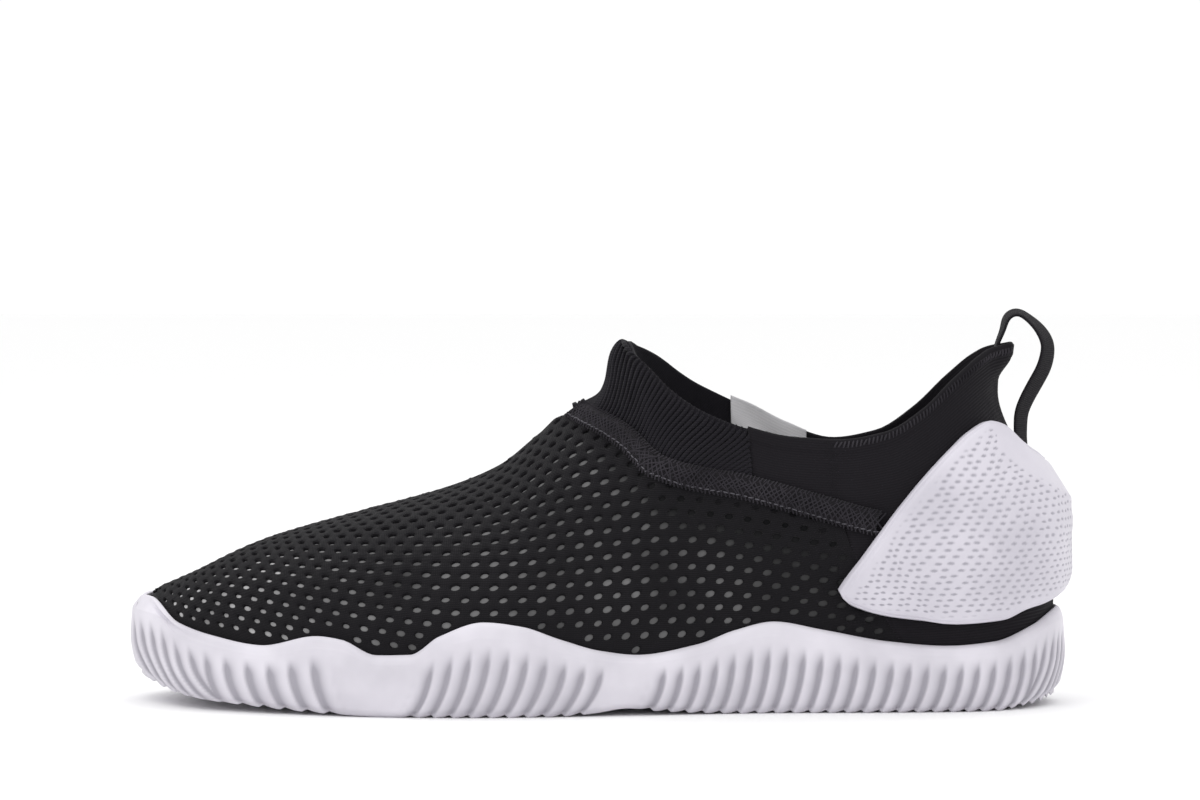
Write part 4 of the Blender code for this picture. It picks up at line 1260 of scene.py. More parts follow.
def column_table():
    """Columns along each row: the datum's count in front, the row's own length further back."""
    u = np.repeat(ARC_TURNS[None, :], len(LEVELS), 0)
    v = row_at(u, row_datum(u) + LEVELS[:, None] * HOLE_ROW)
    steps = np.linalg.norm(np.diff(skin(u, v), axis=1), axis=-1)
    middle = np.abs(ARC_TURNS[1:] + ARC_TURNS[:-1]) / 2
    steps = DATUM_STEPS + (steps - DATUM_STEPS) * ramp(middle, *OWN_COUNT_TURNS)
    run = np.concatenate([np.zeros((len(LEVELS), 1)), np.cumsum(steps, 1)], 1)
    return (run - run[:, len(ARC_TURNS) // 2, None]) / HOLE_PITCH


COLUMN_TABLE = column_table()


def column_at(u, rows):
    """The column at u in a row, read from the table between its levels."""
    at_row = np.clip(rows - LEVELS[0], 0, len(LEVELS) - 1.001)
    return table_at(COLUMN_TABLE, at_row, arc_place(u))


def turn_of(columns, rows):
    """The u at which a row reaches a column."""
    low = np.full(np.shape(columns), ARC_TURNS[0])
    high = np.full(np.shape(columns), ARC_TURNS[-1])
    for _ in range(HALVINGS):
        middle = (low + high) / 2
        short = column_at(middle, rows) < columns
        low = np.where(short, middle, low)
        high = np.where(short, high, middle)
    return (low + high) / 2


print("columns at the panel's end:", round(float(column_of(PANEL_END)), 1))

# %% Flat and wrapped places
SEAM = side_line(SEAM_LINE, -SEAM_EASE)
SEAM_FRONT = seam_start(SEAM)


def panel_top(u):
    """The row where the mesh ends: the ridge at the front, the seam behind it."""
    return np.where(np.abs(u) <= SEAM_FRONT, 1.0, up_to(u, SEAM))


def flat_place(u, v):
    """A point's place on the flat cloth, in columns and in rows of holes."""
    rows = (length_up(u, v) - row_datum(u)) / HOLE_ROW
    return column_at(u, rows), rows


def wrapped(columns, rows):
    """From the flat cloth back to u and v."""
    u = turn_of(columns, rows)
    return u, row_at(u, row_datum(u) + rows * HOLE_ROW)


print("the seam frees the ridge at turn", round(SEAM_FRONT, 3))


# %% Centres of the holes
def hole_centres():
    """The centres of the holes that fit on the cloth above the sole, as columns and rows."""
    last = int(column_of(PANEL_END)) + 2
    lowest = -int(DATUM_LENGTHS.max() / HOLE_ROW) - 1
    highest = int(SECTION_LENGTHS[:, -1].max() / HOLE_ROW) + 1
    rows, columns = np.meshgrid(np.arange(lowest, highest), np.arange(-last, last), indexing="ij")
    shift = HOLE_STAGGER * (rows % 2) + HOLE_SKEW * rows
    columns = (columns + np.where(columns >= 0, shift % 1, 1 - shift % 1)).ravel()
    rows = rows.ravel().astype(float)
    u = turn_of(columns, rows)
    inside = np.abs(u) < PANEL_END - EDGE_CLEAR / SIDE_GIRTH
    u, columns, rows = u[inside], columns[inside], rows[inside]
    up = row_datum(u) + rows * HOLE_ROW
    top = length_up(u, panel_top(u))
    sole_edge = length_up(u, up_to(u, rim_height))
    fits = (up > sole_edge + SOLE_CLEAR) & (up < top - EDGE_CLEAR * 0.7)
    return columns[fits], rows[fits], u[fits], up[fits], top[fits]


hole_columns, hole_rows, hole_turns, hole_ups, hole_tops = hole_centres()
hole_sizes = 1 + SIZE_SPREAD * np.random.default_rng(7).uniform(-1, 1, len(hole_columns))
print("holes:", len(hole_columns))

# %% Flat cloth
BOUNDARY_STEP = 0.0016
LIP_STAND = 0.00004
STRAND_STAND = 0.00022
HOLE_DEPTH = 0.00100
DIMPLE_DEPTH = 0.00075
FLAT_SCALE = np.array([HOLE_PITCH, HOLE_ROW])


def boundary_turns():
    """Stations along the panel's edges, alike on both sides so that the ridge can be sewn."""
    half = np.linspace(0, SEAM_FRONT, int(SEAM_FRONT * SIDE_GIRTH / BOUNDARY_STEP))
    behind = int((PANEL_END - SEAM_FRONT) * SIDE_GIRTH / BOUNDARY_STEP)
    rear = np.linspace(SEAM_FRONT, PANEL_END, behind)
    turns = np.concatenate([half, rear[1:]])
    return np.concatenate([-turns[::-1], turns[1:]])


def hole_loops(grow):
    """Loops round every hole, in columns and rows."""
    angle = np.arange(HOLE_SIDES) * 2 * math.pi / HOLE_SIDES
    rear = ramp(np.abs(hole_turns), *SHAPE_TURNS)
    full = TOE_SIZE[0] + TOE_SIZE[1] * ramp(np.abs(hole_turns), *FULL_TURNS)
    below = ramp(hole_tops - hole_ups, *TOP_RUN)
    full = full * (TOP_SIZE[0] + TOP_SIZE[1] * below) * hole_sizes * grow
    long_half = (HOLE_LONG[0] + (HOLE_LONG[1] - HOLE_LONG[0]) * rear) * full
    short_half = (HOLE_SHORT[0] + (HOLE_SHORT[1] - HOLE_SHORT[0]) * rear) * full
    slant = HOLE_SLANT[0] + (HOLE_SLANT[1] - HOLE_SLANT[0]) * rear
    x = long_half[:, None] * np.cos(angle)
    y = short_half[:, None] * np.sin(angle)
    side = np.sign(hole_turns)[:, None]
    run = x * np.cos(slant)[:, None] - y * np.sin(slant)[:, None]
    rise = x * np.sin(slant)[:, None] + y * np.cos(slant)[:, None]
    columns = hole_columns[:, None] + side * run / HOLE_PITCH
    return np.stack([columns, hole_rows[:, None] + rise / HOLE_ROW], -1)


def panel_outline():
    turns = boundary_turns()
    low = np.stack(flat_place(turns, 0 * turns), -1)
    high = np.stack(flat_place(turns, panel_top(turns)), -1)
    ends = []
    for u in (turns[-1], turns[0]):
        top = float(panel_top(np.array([u]))[0])
        rows = np.linspace(0, top, 40)[1:-1]
        ends.append(np.stack(flat_place(np.full(rows.shape, u), rows), -1))
    return np.concatenate([low, ends[0], high[::-1], ends[1][::-1]])


rim = panel_outline()
loops = hole_loops(LIP_SHARE)
print("points of the edge:", len(rim))


# %% Triangles of the flat cloth
def filled_cloth(rim, loops):
    """Triangles of the cloth inside its outline and outside every hole."""
    side = np.sign(hole_columns)
    between = np.stack([hole_columns + 0.5 * side, hole_rows], -1)
    above = np.stack([hole_columns + HOLE_SKEW * side, hole_rows + 0.5], -1)
    flat = np.concatenate([rim, loops.reshape(-1, 2), between, above]) * FLAT_SCALE
    count = len(rim)
    edges = [(i, (i + 1) % count) for i in range(count)]
    for k in range(len(loops)):
        first = count + k * HOLE_SIDES
        edges += [(first + i, first + (i + 1) % HOLE_SIDES) for i in range(HOLE_SIDES)]
    vectors = [Vector(point) for point in flat]
    points, _, faces, origins, _, _ = delaunay_2d_cdt(vectors, edges, [], 0, 1e-9)
    return np.array([tuple(point) for point in points]) / FLAT_SCALE, faces, origins


flat_points, flat_faces, origins = filled_cloth(rim, loops)
print("flat points:", len(flat_points), "triangles:", len(flat_faces))


# %% Which triangles are cloth
def inside_outline(points, outline_points):
    """Even-odd test of many points against one closed outline."""
    inside = np.zeros(len(points), bool)
    ends = np.roll(outline_points, -1, axis=0)
    for (ax, ay), (bx, by) in zip(outline_points, ends):
        if ay == by:
            continue
        spans = (points[:, 1] > ay) != (points[:, 1] > by)
        crossing = ax + (points[:, 1] - ay) * (bx - ax) / (by - ay)
        inside ^= spans & (points[:, 0] < crossing)
    return inside


source = np.array([found[0] if found else -1 for found in origins])
hole_of = np.where(
    (source >= len(rim)) & (source < len(rim) + loops.shape[0] * HOLE_SIDES),
    (source - len(rim)) // HOLE_SIDES,
    -1 - np.arange(len(source)),
)
triangles = np.array(flat_faces)
in_hole = (hole_of[triangles[:, 0]] == hole_of[triangles[:, 1]]) & (
    hole_of[triangles[:, 1]] == hole_of[triangles[:, 2]]
)
centres = flat_points[triangles].mean(1)
cloth_triangles = triangles[~in_hole & inside_outline(centres, rim)]
print("cloth triangles:", len(cloth_triangles))

# %% Mesh panel
UPPER_INSIDE = 0.029
RING_GROWS = (1.18, 1.0, 0.92)
RING_STANDS = (-0.00009, -0.00036, None)


def panel_mesh():
    """The wrapped cloth, with a rolled lip and a wall to each hole, and a floor where it is shut."""
    u, v = wrapped(flat_points[:, 0], flat_points[:, 1])
    stand = np.where(hole_of >= 0, LIP_STAND, STRAND_STAND)
    stand = np.where(source < len(rim), 0.0, stand)
    points = [upper_point(u, v, stand)]
    flats = [flat_points]
    faces = cloth_triangles.tolist()
    count = len(flat_points)
    loop_index = np.full((loops.shape[0], HOLE_SIDES), -1)
    on_loop = np.nonzero(hole_of >= 0)[0]
    loop_index[hole_of[on_loop], (source[on_loop] - len(rim)) % HOLE_SIDES] = on_loop
    near_seam = (np.abs(hole_turns) > SEAM_FRONT) & (hole_tops - hole_ups < SHUT_SEAM)
    near_ridge = (np.abs(hole_turns) <= SEAM_FRONT) & (hole_tops - hole_ups < SHUT_RIDGE)
    shut = near_seam | near_ridge | (np.abs(hole_turns) < SHUT_TOE)
    last = loop_index
    for grow, level in zip(RING_GROWS, RING_STANDS):
        ring = hole_loops(grow)
        ring_u, ring_v = wrapped(ring[..., 0], ring[..., 1])
        low = np.where(shut, -DIMPLE_DEPTH, -HOLE_DEPTH)[:, None]
        out = np.broadcast_to(low if level is None else level, ring_u.shape)
        points.append(upper_point(ring_u.ravel(), ring_v.ravel(), out.ravel()))
        flats.append(ring.reshape(-1, 2))
        index = count + np.arange(ring_u.size).reshape(ring_u.shape)
        count += ring_u.size
        for k in range(HOLE_SIDES):
            n = (k + 1) % HOLE_SIDES
            quads = np.stack([last[:, k], last[:, n], index[:, n], index[:, k]], -1)
            faces += quads.tolist()
        last = index
    faces += last[shut].tolist()
    flat = np.concatenate(flats)
    turn = np.abs(turn_of(flat[:, 0], flat[:, 1])) * SIDE_GIRTH
    cloth = np.column_stack([turn, flat[:, 1] * HOLE_ROW])
    mesh = clean(mesh_of("mesh_panel", np.concatenate(points), faces, cloth), 2e-6)
    return look_away(mesh, UPPER_INSIDE)


panel = panel_mesh()
add_piece("mesh_panel", panel, [MESH_BLACK], "mesh_fabric", "upper")
print("panel faces:", len(panel.polygons))

# %% [markdown]
# ## The lining
# What shows through the holes is a thin pale lining a half millimetre below. Its paleness fades
# along the side, at the heel and below the ridge and seam, which is partly painted shade. The same
# sheet is black towards the foot. It is one open grid with a Solidify modifier, whose inner side
# takes the second material, which is how a two-faced cloth is best made.

# %% Lining
LINING_DROP = 0.00104
LINING_WALL = 0.00062
LINING_COLUMNS = 150
LINING_ROWS = 30
# How much paleness is lost along the side and near the heel, and how far below the top it starts:
# partly a paler lining in front, partly painted shade behind and under the ridge and seam
SIDE_LOSS = 0.74
SIDE_TURNS = (0.20, 0.36)
HEEL_LOSS = 0.16
REAR_TURNS = (0.62, 0.74)
CLEAR_RUNS = (0.014, 0.018)


def lining_mesh():
    front = SEAM_FRONT * np.linspace(0, 1, LINING_COLUMNS // 2)
    rear = np.linspace(SEAM_FRONT, PANEL_END + 0.006, LINING_COLUMNS // 2)
    turns = np.concatenate([front, rear[1:]])
    u = np.concatenate([-turns[::-1], turns[1:]])
    top = np.where(np.abs(u) <= SEAM_FRONT, 1.0, up_to(u, SEAM))
    v = top[:, None] * np.linspace(0, 1, LINING_ROWS + 1)[None, :]
    grid_u = np.broadcast_to(u[:, None], v.shape)
    points = upper_point(grid_u, v, np.full(v.shape, -LINING_DROP))
    cloth = np.stack([grid_u * SIDE_GIRTH, length_up(grid_u, v)], -1)
    mesh = mesh_of("lining", points, grid_faces(*v.shape), cloth)
    turn = np.abs(grid_u)
    below = length_up(grid_u, top[:, None]) - length_up(grid_u, v)
    # Partly painted shade: the paleness falls off along the side, at the heel and under the ridge
    # and seam
    pale = 1.0 - SIDE_LOSS * ramp(turn, *SIDE_TURNS) - HEEL_LOSS * ramp(turn, *REAR_TURNS)
    clear = np.where(turn < SEAM_FRONT, *CLEAR_RUNS)
    pale = pale * (0.04 + 0.96 * ramp(below, clear * 0.5, clear * 1.6))
    keep_value(mesh, "pale", pale)
    return look_away(clean(mesh, 2e-6, turn_out=False), UPPER_INSIDE)


lining = add_piece("lining", lining_mesh(), [LINING_PALE, LINING_DARK], "mesh_fabric", "upper")
wall = lining.modifiers.new("wall", "SOLIDIFY")
wall.thickness = LINING_WALL
wall.offset = -1
wall.material_offset = 1
wall.material_offset_rim = 1
print("lining faces:", len(lining.data.polygons))

# %% [markdown]
# ## The stretch quarter
# Behind the rib knit the collar is a smooth bonded stretch cloth that runs round the heel, up
# into the flared tab and down under the clip. It is a closed wall: the outer face, a rolled rim
# and the inner face. The rim carries a narrow raised hem, and a few shallow folds, drawn as soft
# troughs in the shoe's own measures, keep the cloth from looking like moulded plastic.

# %% Folds in the cloth
# |u| and v of the middle, how far it runs in each, its half width and its depth
FOLD_ROWS = [
    (0.76, 0.7, 0.03, -0.05, 0.0045, 0.00035), (0.815, 0.64, 0.04, 0.11, 0.005, 0.0004),
    (0.872, 0.85, 0.02, 0.06, 0.004, 0.00035), (0.7, 0.46, 0.045, -0.02, 0.005, 0.0003),
    (0.6, 0.52, 0.02, 0.12, 0.0055, 0.00045), (0.56, 0.6, 0.03, -0.09, 0.006, 0.0004),
]


def folds(u, v):
    """Soft troughs across the cloth, on both sides of the shoe, as an offset of the skin."""
    turn = np.abs(wrap(u))
    depth = np.zeros(np.broadcast(turn, v).shape)
    for at, height, run, rise, width, deep in FOLD_ROWS:
        x = (turn - at) * SIDE_GIRTH
        y = (v - height) * COLLAR_HEIGHT
        length = math.hypot(run * SIDE_GIRTH, rise * COLLAR_HEIGHT)
        along = (x * run * SIDE_GIRTH + y * rise * COLLAR_HEIGHT) / length
        aside = (y * run * SIDE_GIRTH - x * rise * COLLAR_HEIGHT) / length
        depth = depth - deep * np.exp(-((aside / width) ** 2) - (along / length / 1.2) ** 2)
    return depth


print("folds:", len(FOLD_ROWS))

# %% Hem and rolled rim
HEM_WIDTH = 0.0030
HEM_STAND = 0.00030
QUARTER_LOW_ROWS = 26
QUARTER_HIGH_ROWS = 40
QUARTER_STEP = 0.0019
FLAP_START = -(CUFF_END - 0.0012)
ROLL_STEPS = 6
RIM_STEP = 0.01


def hem_stand(u, v):
    """The hem is a step that runs a few millimetres below the rim."""
    point = skin(u, v)
    top = skin(u, np.ones(np.shape(v)))
    below = np.linalg.norm(top - point, axis=-1)
    return HEM_STAND * (1 - ramp(below, HEM_WIDTH, HEM_WIDTH + 0.0006))


def rolled_rim(u, wall):
    """Points over the rim from the outer face to the inner one, on half a circle."""
    angle = np.linspace(0, math.pi, ROLL_STEPS + 2)[1:-1]
    top = skin(u, np.ones(u.shape))
    facing = facing_of(u, np.full(u.shape, 1.0))
    up = unit(top - skin(u, np.full(u.shape, 1 - RIM_STEP)))
    half = wall / 2
    middle = top - facing * half
    return middle[:, None] + half * (
        facing[:, None] * np.cos(angle)[None, :, None] + up[:, None] * np.sin(angle)[None, :, None]
    )


print("hem in mm:", 1000 * HEM_WIDTH)


# %% Quarter
def quarter_part(u, rows):
    """Rings of the wall at stations u, each with its own rows from bottom to top."""
    grid = np.broadcast_to(u[:, None], rows.shape)
    out = hem_stand(grid, rows) + folds(grid, rows)
    outer = upper_point(grid, rows, out)
    inner = upper_point(grid, rows, np.full(rows.shape, -UPPER_WALL))[:, ::-1]
    rim_points = rolled_rim(u, UPPER_WALL)
    rings = np.concatenate([outer, rim_points, inner], 1)
    heights = np.linspace(0, COLLAR_HEIGHT, rings.shape[1] // 2)
    heights = np.concatenate([heights, heights[::-1], heights[:1]])[: rings.shape[1]]
    along = np.broadcast_to(u[:, None] * SIDE_GIRTH, rings.shape[:2])
    run = np.concatenate([rows * COLLAR_HEIGHT, np.ones((len(u), ROLL_STEPS)) * COLLAR_HEIGHT], 1)
    run = np.concatenate([run, rows[:, ::-1] * COLLAR_HEIGHT], 1)
    return rings, np.stack([along, run], -1)


def quarter_mesh():
    """The heel wall and a flap above the seam on each side, sewn into one closed wall."""
    share = 1 - (1 - np.linspace(0, 1, QUARTER_HIGH_ROWS)) ** 1.3
    stations = round((2 - 2 * PANEL_END) * SIDE_GIRTH / QUARTER_STEP)
    heel = np.linspace(PANEL_END, 2 - PANEL_END, stations)
    seam_rows = up_to(heel, SEAM)[:, None]
    low = seam_rows * np.linspace(0, 1, QUARTER_LOW_ROWS)[None, :]
    high = seam_rows + (1 - seam_rows) * share[None, :]
    rings, cloth = quarter_part(heel, np.concatenate([low, high[:, 1:]], 1))
    count, around = rings.shape[:2]
    faces = grid_faces(count, around, closed_across=True)
    for first in (0, (count - 1) * around):
        for j in range(QUARTER_LOW_ROWS - 1):
            faces.append([first + j, first + j + 1, first + around - 2 - j, first + around - 1 - j])
    points = [rings.reshape(-1, 3)]
    places = [cloth.reshape(-1, 2)]
    for start, end, cap in ((-PANEL_END, FLAP_START, -1), (-FLAP_START, PANEL_END, 0)):
        u = np.linspace(start, end, round((end - start) * SIDE_GIRTH / QUARTER_STEP))
        seam_rows = up_to(u, SEAM)[:, None]
        rings, cloth = quarter_part(u, seam_rows + (1 - seam_rows) * share[None, :])
        first = sum(len(part) for part in points)
        count, around = rings.shape[:2]
        faces += grid_faces(count, around, closed_across=True, first=first)
        end_ring = first + (count - 1 if cap else 0) * around
        faces.append([end_ring + j for j in range(around)])
        points.append(rings.reshape(-1, 3))
        places.append(cloth.reshape(-1, 2))
    return clean(mesh_of("quarter", np.concatenate(points), faces, np.concatenate(places)), 4e-6)


quarter = add_piece("stretch_quarter", quarter_mesh(), [STRETCH], "mesh_fabric", "upper")
print("quarter faces:", len(quarter.data.polygons))


# %% [markdown]
# ## The rib-knit cuff
# The cuff is a soft tube of rib knit, open at the back. Ribs are a path problem: each one starts
# inside the rim, turns over it and runs down to the seam, leaning towards the toe. So the base is
# a plain sheet, the ribs are drawn as guide lines on it, and a Geometry Nodes tree sweeps a round
# profile along every guide. Changing one named input changes all the ribs.

# %% Sweep tree
def new_tree(name, inputs):
    """A Geometry Nodes tree with named inputs."""
    tree = bpy.data.node_groups.new(name, "GeometryNodeTree")
    tree.interface.new_socket("Geometry", in_out="INPUT", socket_type="NodeSocketGeometry")
    for socket, kind, value in inputs:
        made = tree.interface.new_socket(socket, in_out="INPUT", socket_type=kind)
        if value is not None:
            made.default_value = value
    tree.interface.new_socket("Geometry", in_out="OUTPUT", socket_type="NodeSocketGeometry")
    return tree, tree.nodes.new("NodeGroupInput"), tree.nodes.new("NodeGroupOutput")


def sweep_tree():
    """Sweeps a round profile along every guide line."""
    tree, entry, leave = new_tree(
        "swept_ribs",
        [("Radius", "NodeSocketFloat", 0.0006), ("Material", "NodeSocketMaterial", None)],
    )
    given = entry.outputs
    curve = add_node(tree, "GeometryNodeMeshToCurve", Mesh=given["Geometry"])
    named = {"data_type": "FLOAT"}
    swell = add_node(tree, "GeometryNodeInputNamedAttribute", named, Name="swell")
    swell = swell.outputs["Attribute"]
    radius = add_node(tree, "GeometryNodeSetCurveRadius", Curve=curve, Radius=swell)
    profile = add_node(
        tree, "GeometryNodeCurvePrimitiveCircle", Resolution=8, Radius=given["Radius"]
    )
    sweep = add_node(
        tree, "GeometryNodeCurveToMesh", Fill_Caps=True, Curve=radius, Profile_Curve=profile
    )
    if "Scale" in sweep.inputs:
        link(tree, swell, sweep.inputs["Scale"])
    real = add_node(tree, "GeometryNodeRealizeInstances", Geometry=sweep)
    paint = add_node(
        tree, "GeometryNodeSetMaterial", Geometry=real, Material=given["Material"]
    )
    link(tree, paint.outputs[0], leave.inputs[0])
    return tree


def socket_id(tree, name):
    sockets = [item for item in tree.interface.items_tree if item.item_type == "SOCKET"]
    return next(made.identifier for made in sockets if (made.in_out, made.name) == ("INPUT", name))


def grown(name, mesh, tree, material, **values):
    """Runs a tree on a guide mesh and keeps the result as a plain mesh."""
    carrier = bpy.data.objects.new(name + "_guide", mesh)
    bpy.context.scene.collection.objects.link(carrier)
    nodes = carrier.modifiers.new("grow", "NODES")
    nodes.node_group = tree
    nodes[socket_id(tree, "Material")] = material
    for key, value in values.items():
        nodes[socket_id(tree, key.replace("_", " "))] = value
    bpy.context.view_layer.update()
    graph = bpy.context.evaluated_depsgraph_get()
    made = bpy.data.meshes.new_from_object(carrier.evaluated_get(graph))
    made.name = name
    bpy.data.objects.remove(carrier, do_unlink=True)
    bpy.data.meshes.remove(mesh)
    made.materials.clear()
    made.shade_smooth()
    return made


def guide_mesh(name, lines, **attributes):
    """Lines of points as loose edges, with float or vector attributes on the points."""
    points = np.concatenate(lines)
    mesh = bpy.data.meshes.new(name)
    edges = []
    first = 0
    for line in lines:
        edges += [(first + i, first + i + 1) for i in range(len(line) - 1)]
        first += len(line)
    mesh.from_pydata(points.tolist(), edges, [])
    for key, rows in attributes.items():
        values = np.concatenate(rows)
        if values.ndim == 2:
            made = mesh.attributes.new(key, "FLOAT_VECTOR", "POINT")
            made.data.foreach_set("vector", values.ravel())
        else:
            keep_value(mesh, key, values)
    return mesh


SWEEP = sweep_tree()
print("tree:", SWEEP.name)

# %% Cuff base
CUFF_INSIDE = 0.060
CUFF_COLUMNS = 90
CUFF_FINE_ROWS = 26
CUFF_SINK = 0.0003
CUFF_SEAM = side_line(SEAM_LINE, SEAM_EASE)
CUFF_FRONT = seam_start(CUFF_SEAM)
CUFF_LAST = CUFF_END + 0.0006


def cuff_mesh():
    """Two halves of an open sheet, sewn together down the front."""
    crowd = np.linspace(0, 1, CUFF_COLUMNS) ** 1.5
    turns = CUFF_FRONT + (CUFF_LAST - CUFF_FRONT) * crowd
    turns[np.argmin(np.abs(turns - PEAK))] = PEAK
    share = np.linspace(0, 1, CUFF_FINE_ROWS + 1)
    points = []
    faces = []
    cloth = []
    for side in (-1, 1):
        u = turns * side
        low = np.where(turns <= CUFF_FRONT, 1.0, up_to(u, CUFF_SEAM))
        v = low[:, None] + (1 - low[:, None]) * share[None, :]
        grid = np.broadcast_to(u[:, None], v.shape)
        first = len(points) * v.size
        points.append(upper_point(grid, v, np.full(v.shape, -CUFF_SINK)).reshape(-1, 3))
        cloth.append(np.stack([np.abs(grid) * SIDE_GIRTH, v * COLLAR_HEIGHT], -1).reshape(-1, 2))
        quads = grid_faces(*v.shape, first=first)
        faces += [quad[::side] for quad in quads]
    mesh = clean(mesh_of("cuff_base", np.concatenate(points), faces, np.concatenate(cloth)), 2e-6)
    return look_away(mesh, CUFF_INSIDE)


cuff = add_piece("cuff_base", cuff_mesh(), [RIB_YARN], "rib_knit", "rib_cuff")
cuff_wall = cuff.modifiers.new("wall", "SOLIDIFY")
cuff_wall.thickness = CUFF_WALL - CUFF_SINK
cuff_wall.offset = -1
print("cuff faces:", len(cuff.data.polygons))

# %% Sizes of the ribs
RIB_PITCH = 0.00175
RIB_RADIUS = 0.00064
RIB_SINK = 0.00024
RIB_SHIFT = 0.066
FRONT_SHIFT = PEAK - CUFF_FRONT - 0.002
SHIFT_FADE = 0.030
RIB_CURL = 1.35
HUG_FADE = 0.014
HUG = 4.0
RIB_POINTS = 26
INSIDE_RUN = 0.0030
FAR_SKIP = 1
SEAM_SAMPLES = 300


def rim_stations(pitch):
    """Stations an equal length apart along the collar's rim, from the peak to the cuff's end."""
    turns = np.linspace(PEAK, CUFF_LAST + RIB_SHIFT, 400)
    rim_line = skin(-turns, np.ones(turns.shape))
    run = run_of(rim_line)
    return np.interp(np.arange(pitch / 2, run[-1], pitch), run, turns)


print("ribs on each side of the cuff:", len(rim_stations(RIB_PITCH)))


# %% Ribs of the cuff
def cuff_ribs():
    """Guide lines: inside the rim, over it, and down the outside towards the seam and the toe."""
    lines = []
    swells = []
    share = np.linspace(0, 1, RIB_POINTS)
    turns = np.linspace(CUFF_FRONT, CUFF_LAST, SEAM_SAMPLES)
    seam_rows = {side: up_to(side * turns, CUFF_SEAM) for side in (-1, 1)}
    for side, top_swell in ((-1, 0.35), (1, 0.0)):
        for start in rim_stations(RIB_PITCH):
            past = start - PEAK
            shift = RIB_SHIFT + (FRONT_SHIFT - RIB_SHIFT) * math.exp(-past / SHIFT_FADE)
            hug = 1 + HUG * math.exp(-past / HUG_FADE)
            turn = start - shift * share**RIB_CURL
            keep = (turn <= CUFF_LAST) & (turn >= CUFF_FRONT)
            u = side * turn
            low = np.where(turn <= CUFF_FRONT, 1.0, np.interp(turn, turns, seam_rows[side]))
            v = 1 - (1 - low) * share**hug
            out = np.full(v.shape, RIB_SINK - CUFF_SINK)
            points = upper_point(u, v, out)[keep]
            swell = top_swell + (1 - top_swell) * ramp(share, 0.0, 0.16)
            swell = (swell * np.minimum(1, 0.55 + 3 * (1 - share)))[keep]
            if len(points) < 4:
                continue
            if side > 0:
                swell = swell * ramp(share, 0.05, 0.2)[keep]
                points, swell = points[FAR_SKIP:], swell[FAR_SKIP:]
            elif keep[0]:
                at = np.array([side * start])
                top = points[0]
                down = skin(at, np.array([1.0]))[0] - skin(at, np.array([0.97]))[0]
                down /= np.linalg.norm(down)
                face = facing_of(at, np.array([1.0]))[0]
                inner = top - face * (CUFF_WALL - CUFF_SINK) - down * INSIDE_RUN
                edge = top - face * (CUFF_WALL - CUFF_SINK) * 0.85 - down * 0.0003
                over = top - face * CUFF_WALL * 0.4 + down * 0.0001
                points = np.concatenate([[inner, edge, over], points])
                swell = np.concatenate([[0.3 * top_swell, 0.6 * top_swell, 0.8 * top_swell], swell])
            lines.append(points)
            swells.append(swell)
    return guide_mesh("cuff_rib_lines", lines, swell=swells), len(lines)


rib_lines, rib_count = cuff_ribs()
cuff_rib_mesh = grown("cuff_ribs", rib_lines, SWEEP, RIB_YARN, Radius=RIB_RADIUS)
print("ribs:", rib_count, "faces:", len(cuff_rib_mesh.polygons))


def cloth_from_place(mesh):
    """Cloth places for a swept mesh: along the shoe and up it."""
    co = np.empty(len(mesh.vertices) * 3)
    mesh.vertices.foreach_get("co", co)
    co = co.reshape(-1, 3)
    if "cloth" in mesh.attributes:
        mesh.attributes.remove(mesh.attributes["cloth"])
    spot = mesh.attributes.new("cloth", "FLOAT_VECTOR", "POINT")
    spot.data.foreach_set("vector", np.column_stack([co[:, 0], co[:, 2], co[:, 1]]).ravel())
    return mesh


add_piece("cuff_ribs", cloth_from_place(cuff_rib_mesh), [RIB_YARN], "rib_knit", "rib_cuff")


# %% [markdown]
# ## The overlock seam
# Where mesh, rib knit and stretch cloth meet, an overlock machine lays crossing threads over a
# raised strip. The strip is a closed ring walked along the seam. The threads are a rule of their
# own: the same short bent thread, over and over, at one angle and then at the other. A Geometry
# Nodes tree puts it on points along a guide line, so spacing, angle and length can be changed by
# name.

# %% Path of the seam
CLIP_TOP_LINE = [
    (0.735, 0.27), (0.746, 0.336), (0.771, 0.425), (0.803, 0.536), (0.836, 0.64),
    (0.861, 0.707), (0.882, 0.756), (0.898, 0.778), (0.91, 0.764), (0.929, 0.713),
    (0.943, 0.68), (0.953, 0.655), (1, 0.6),
]
STRIP_STATIONS = 170
STRIP_COURSES = np.linspace(-1, 1, 11)
STRIP_RIPPLE = 0.00022
STRIP_SEAT = 0.00022
STRIP_STOP = 0.62
# Shares of the strip's thickness at its edges, and what its middle adds
STRIP_LOW = 0.15
STRIP_RISE = 0.75


def fine_path(stations):
    """The seam's middle from clip to clip, in many stations of nearly equal length."""
    seam = side_line(SEAM_LINE)
    clip = side_line(CLIP_TOP_LINE, BAND_WIDTH * STRIP_STOP)
    start = seam_start(seam)
    turns = np.linspace(CUFF_END, 1, 400)
    free = up_to(turns, seam) > up_to(turns, clip)
    end = turns[free][-1]
    rough = start + (end - start) * np.linspace(0, 1, 500) ** 1.7
    line = skin(-rough, np.where(rough <= start, 1.0, up_to(-rough, seam)))
    run = run_of(line)
    turns = np.interp(np.linspace(0, run[-1], stations // 2 + 1), run, rough)
    u = np.concatenate([-turns[:0:-1], turns])
    return u, np.where(np.abs(u) <= start, 1.0, up_to(u, seam))


print("the seam's half, in stations:", len(fine_path(STRIP_STATIONS)[0]) // 2)

# %% Seam strip
EVENING_ROUNDS = 14
EVENING_RUN = (0.012, 0.045)


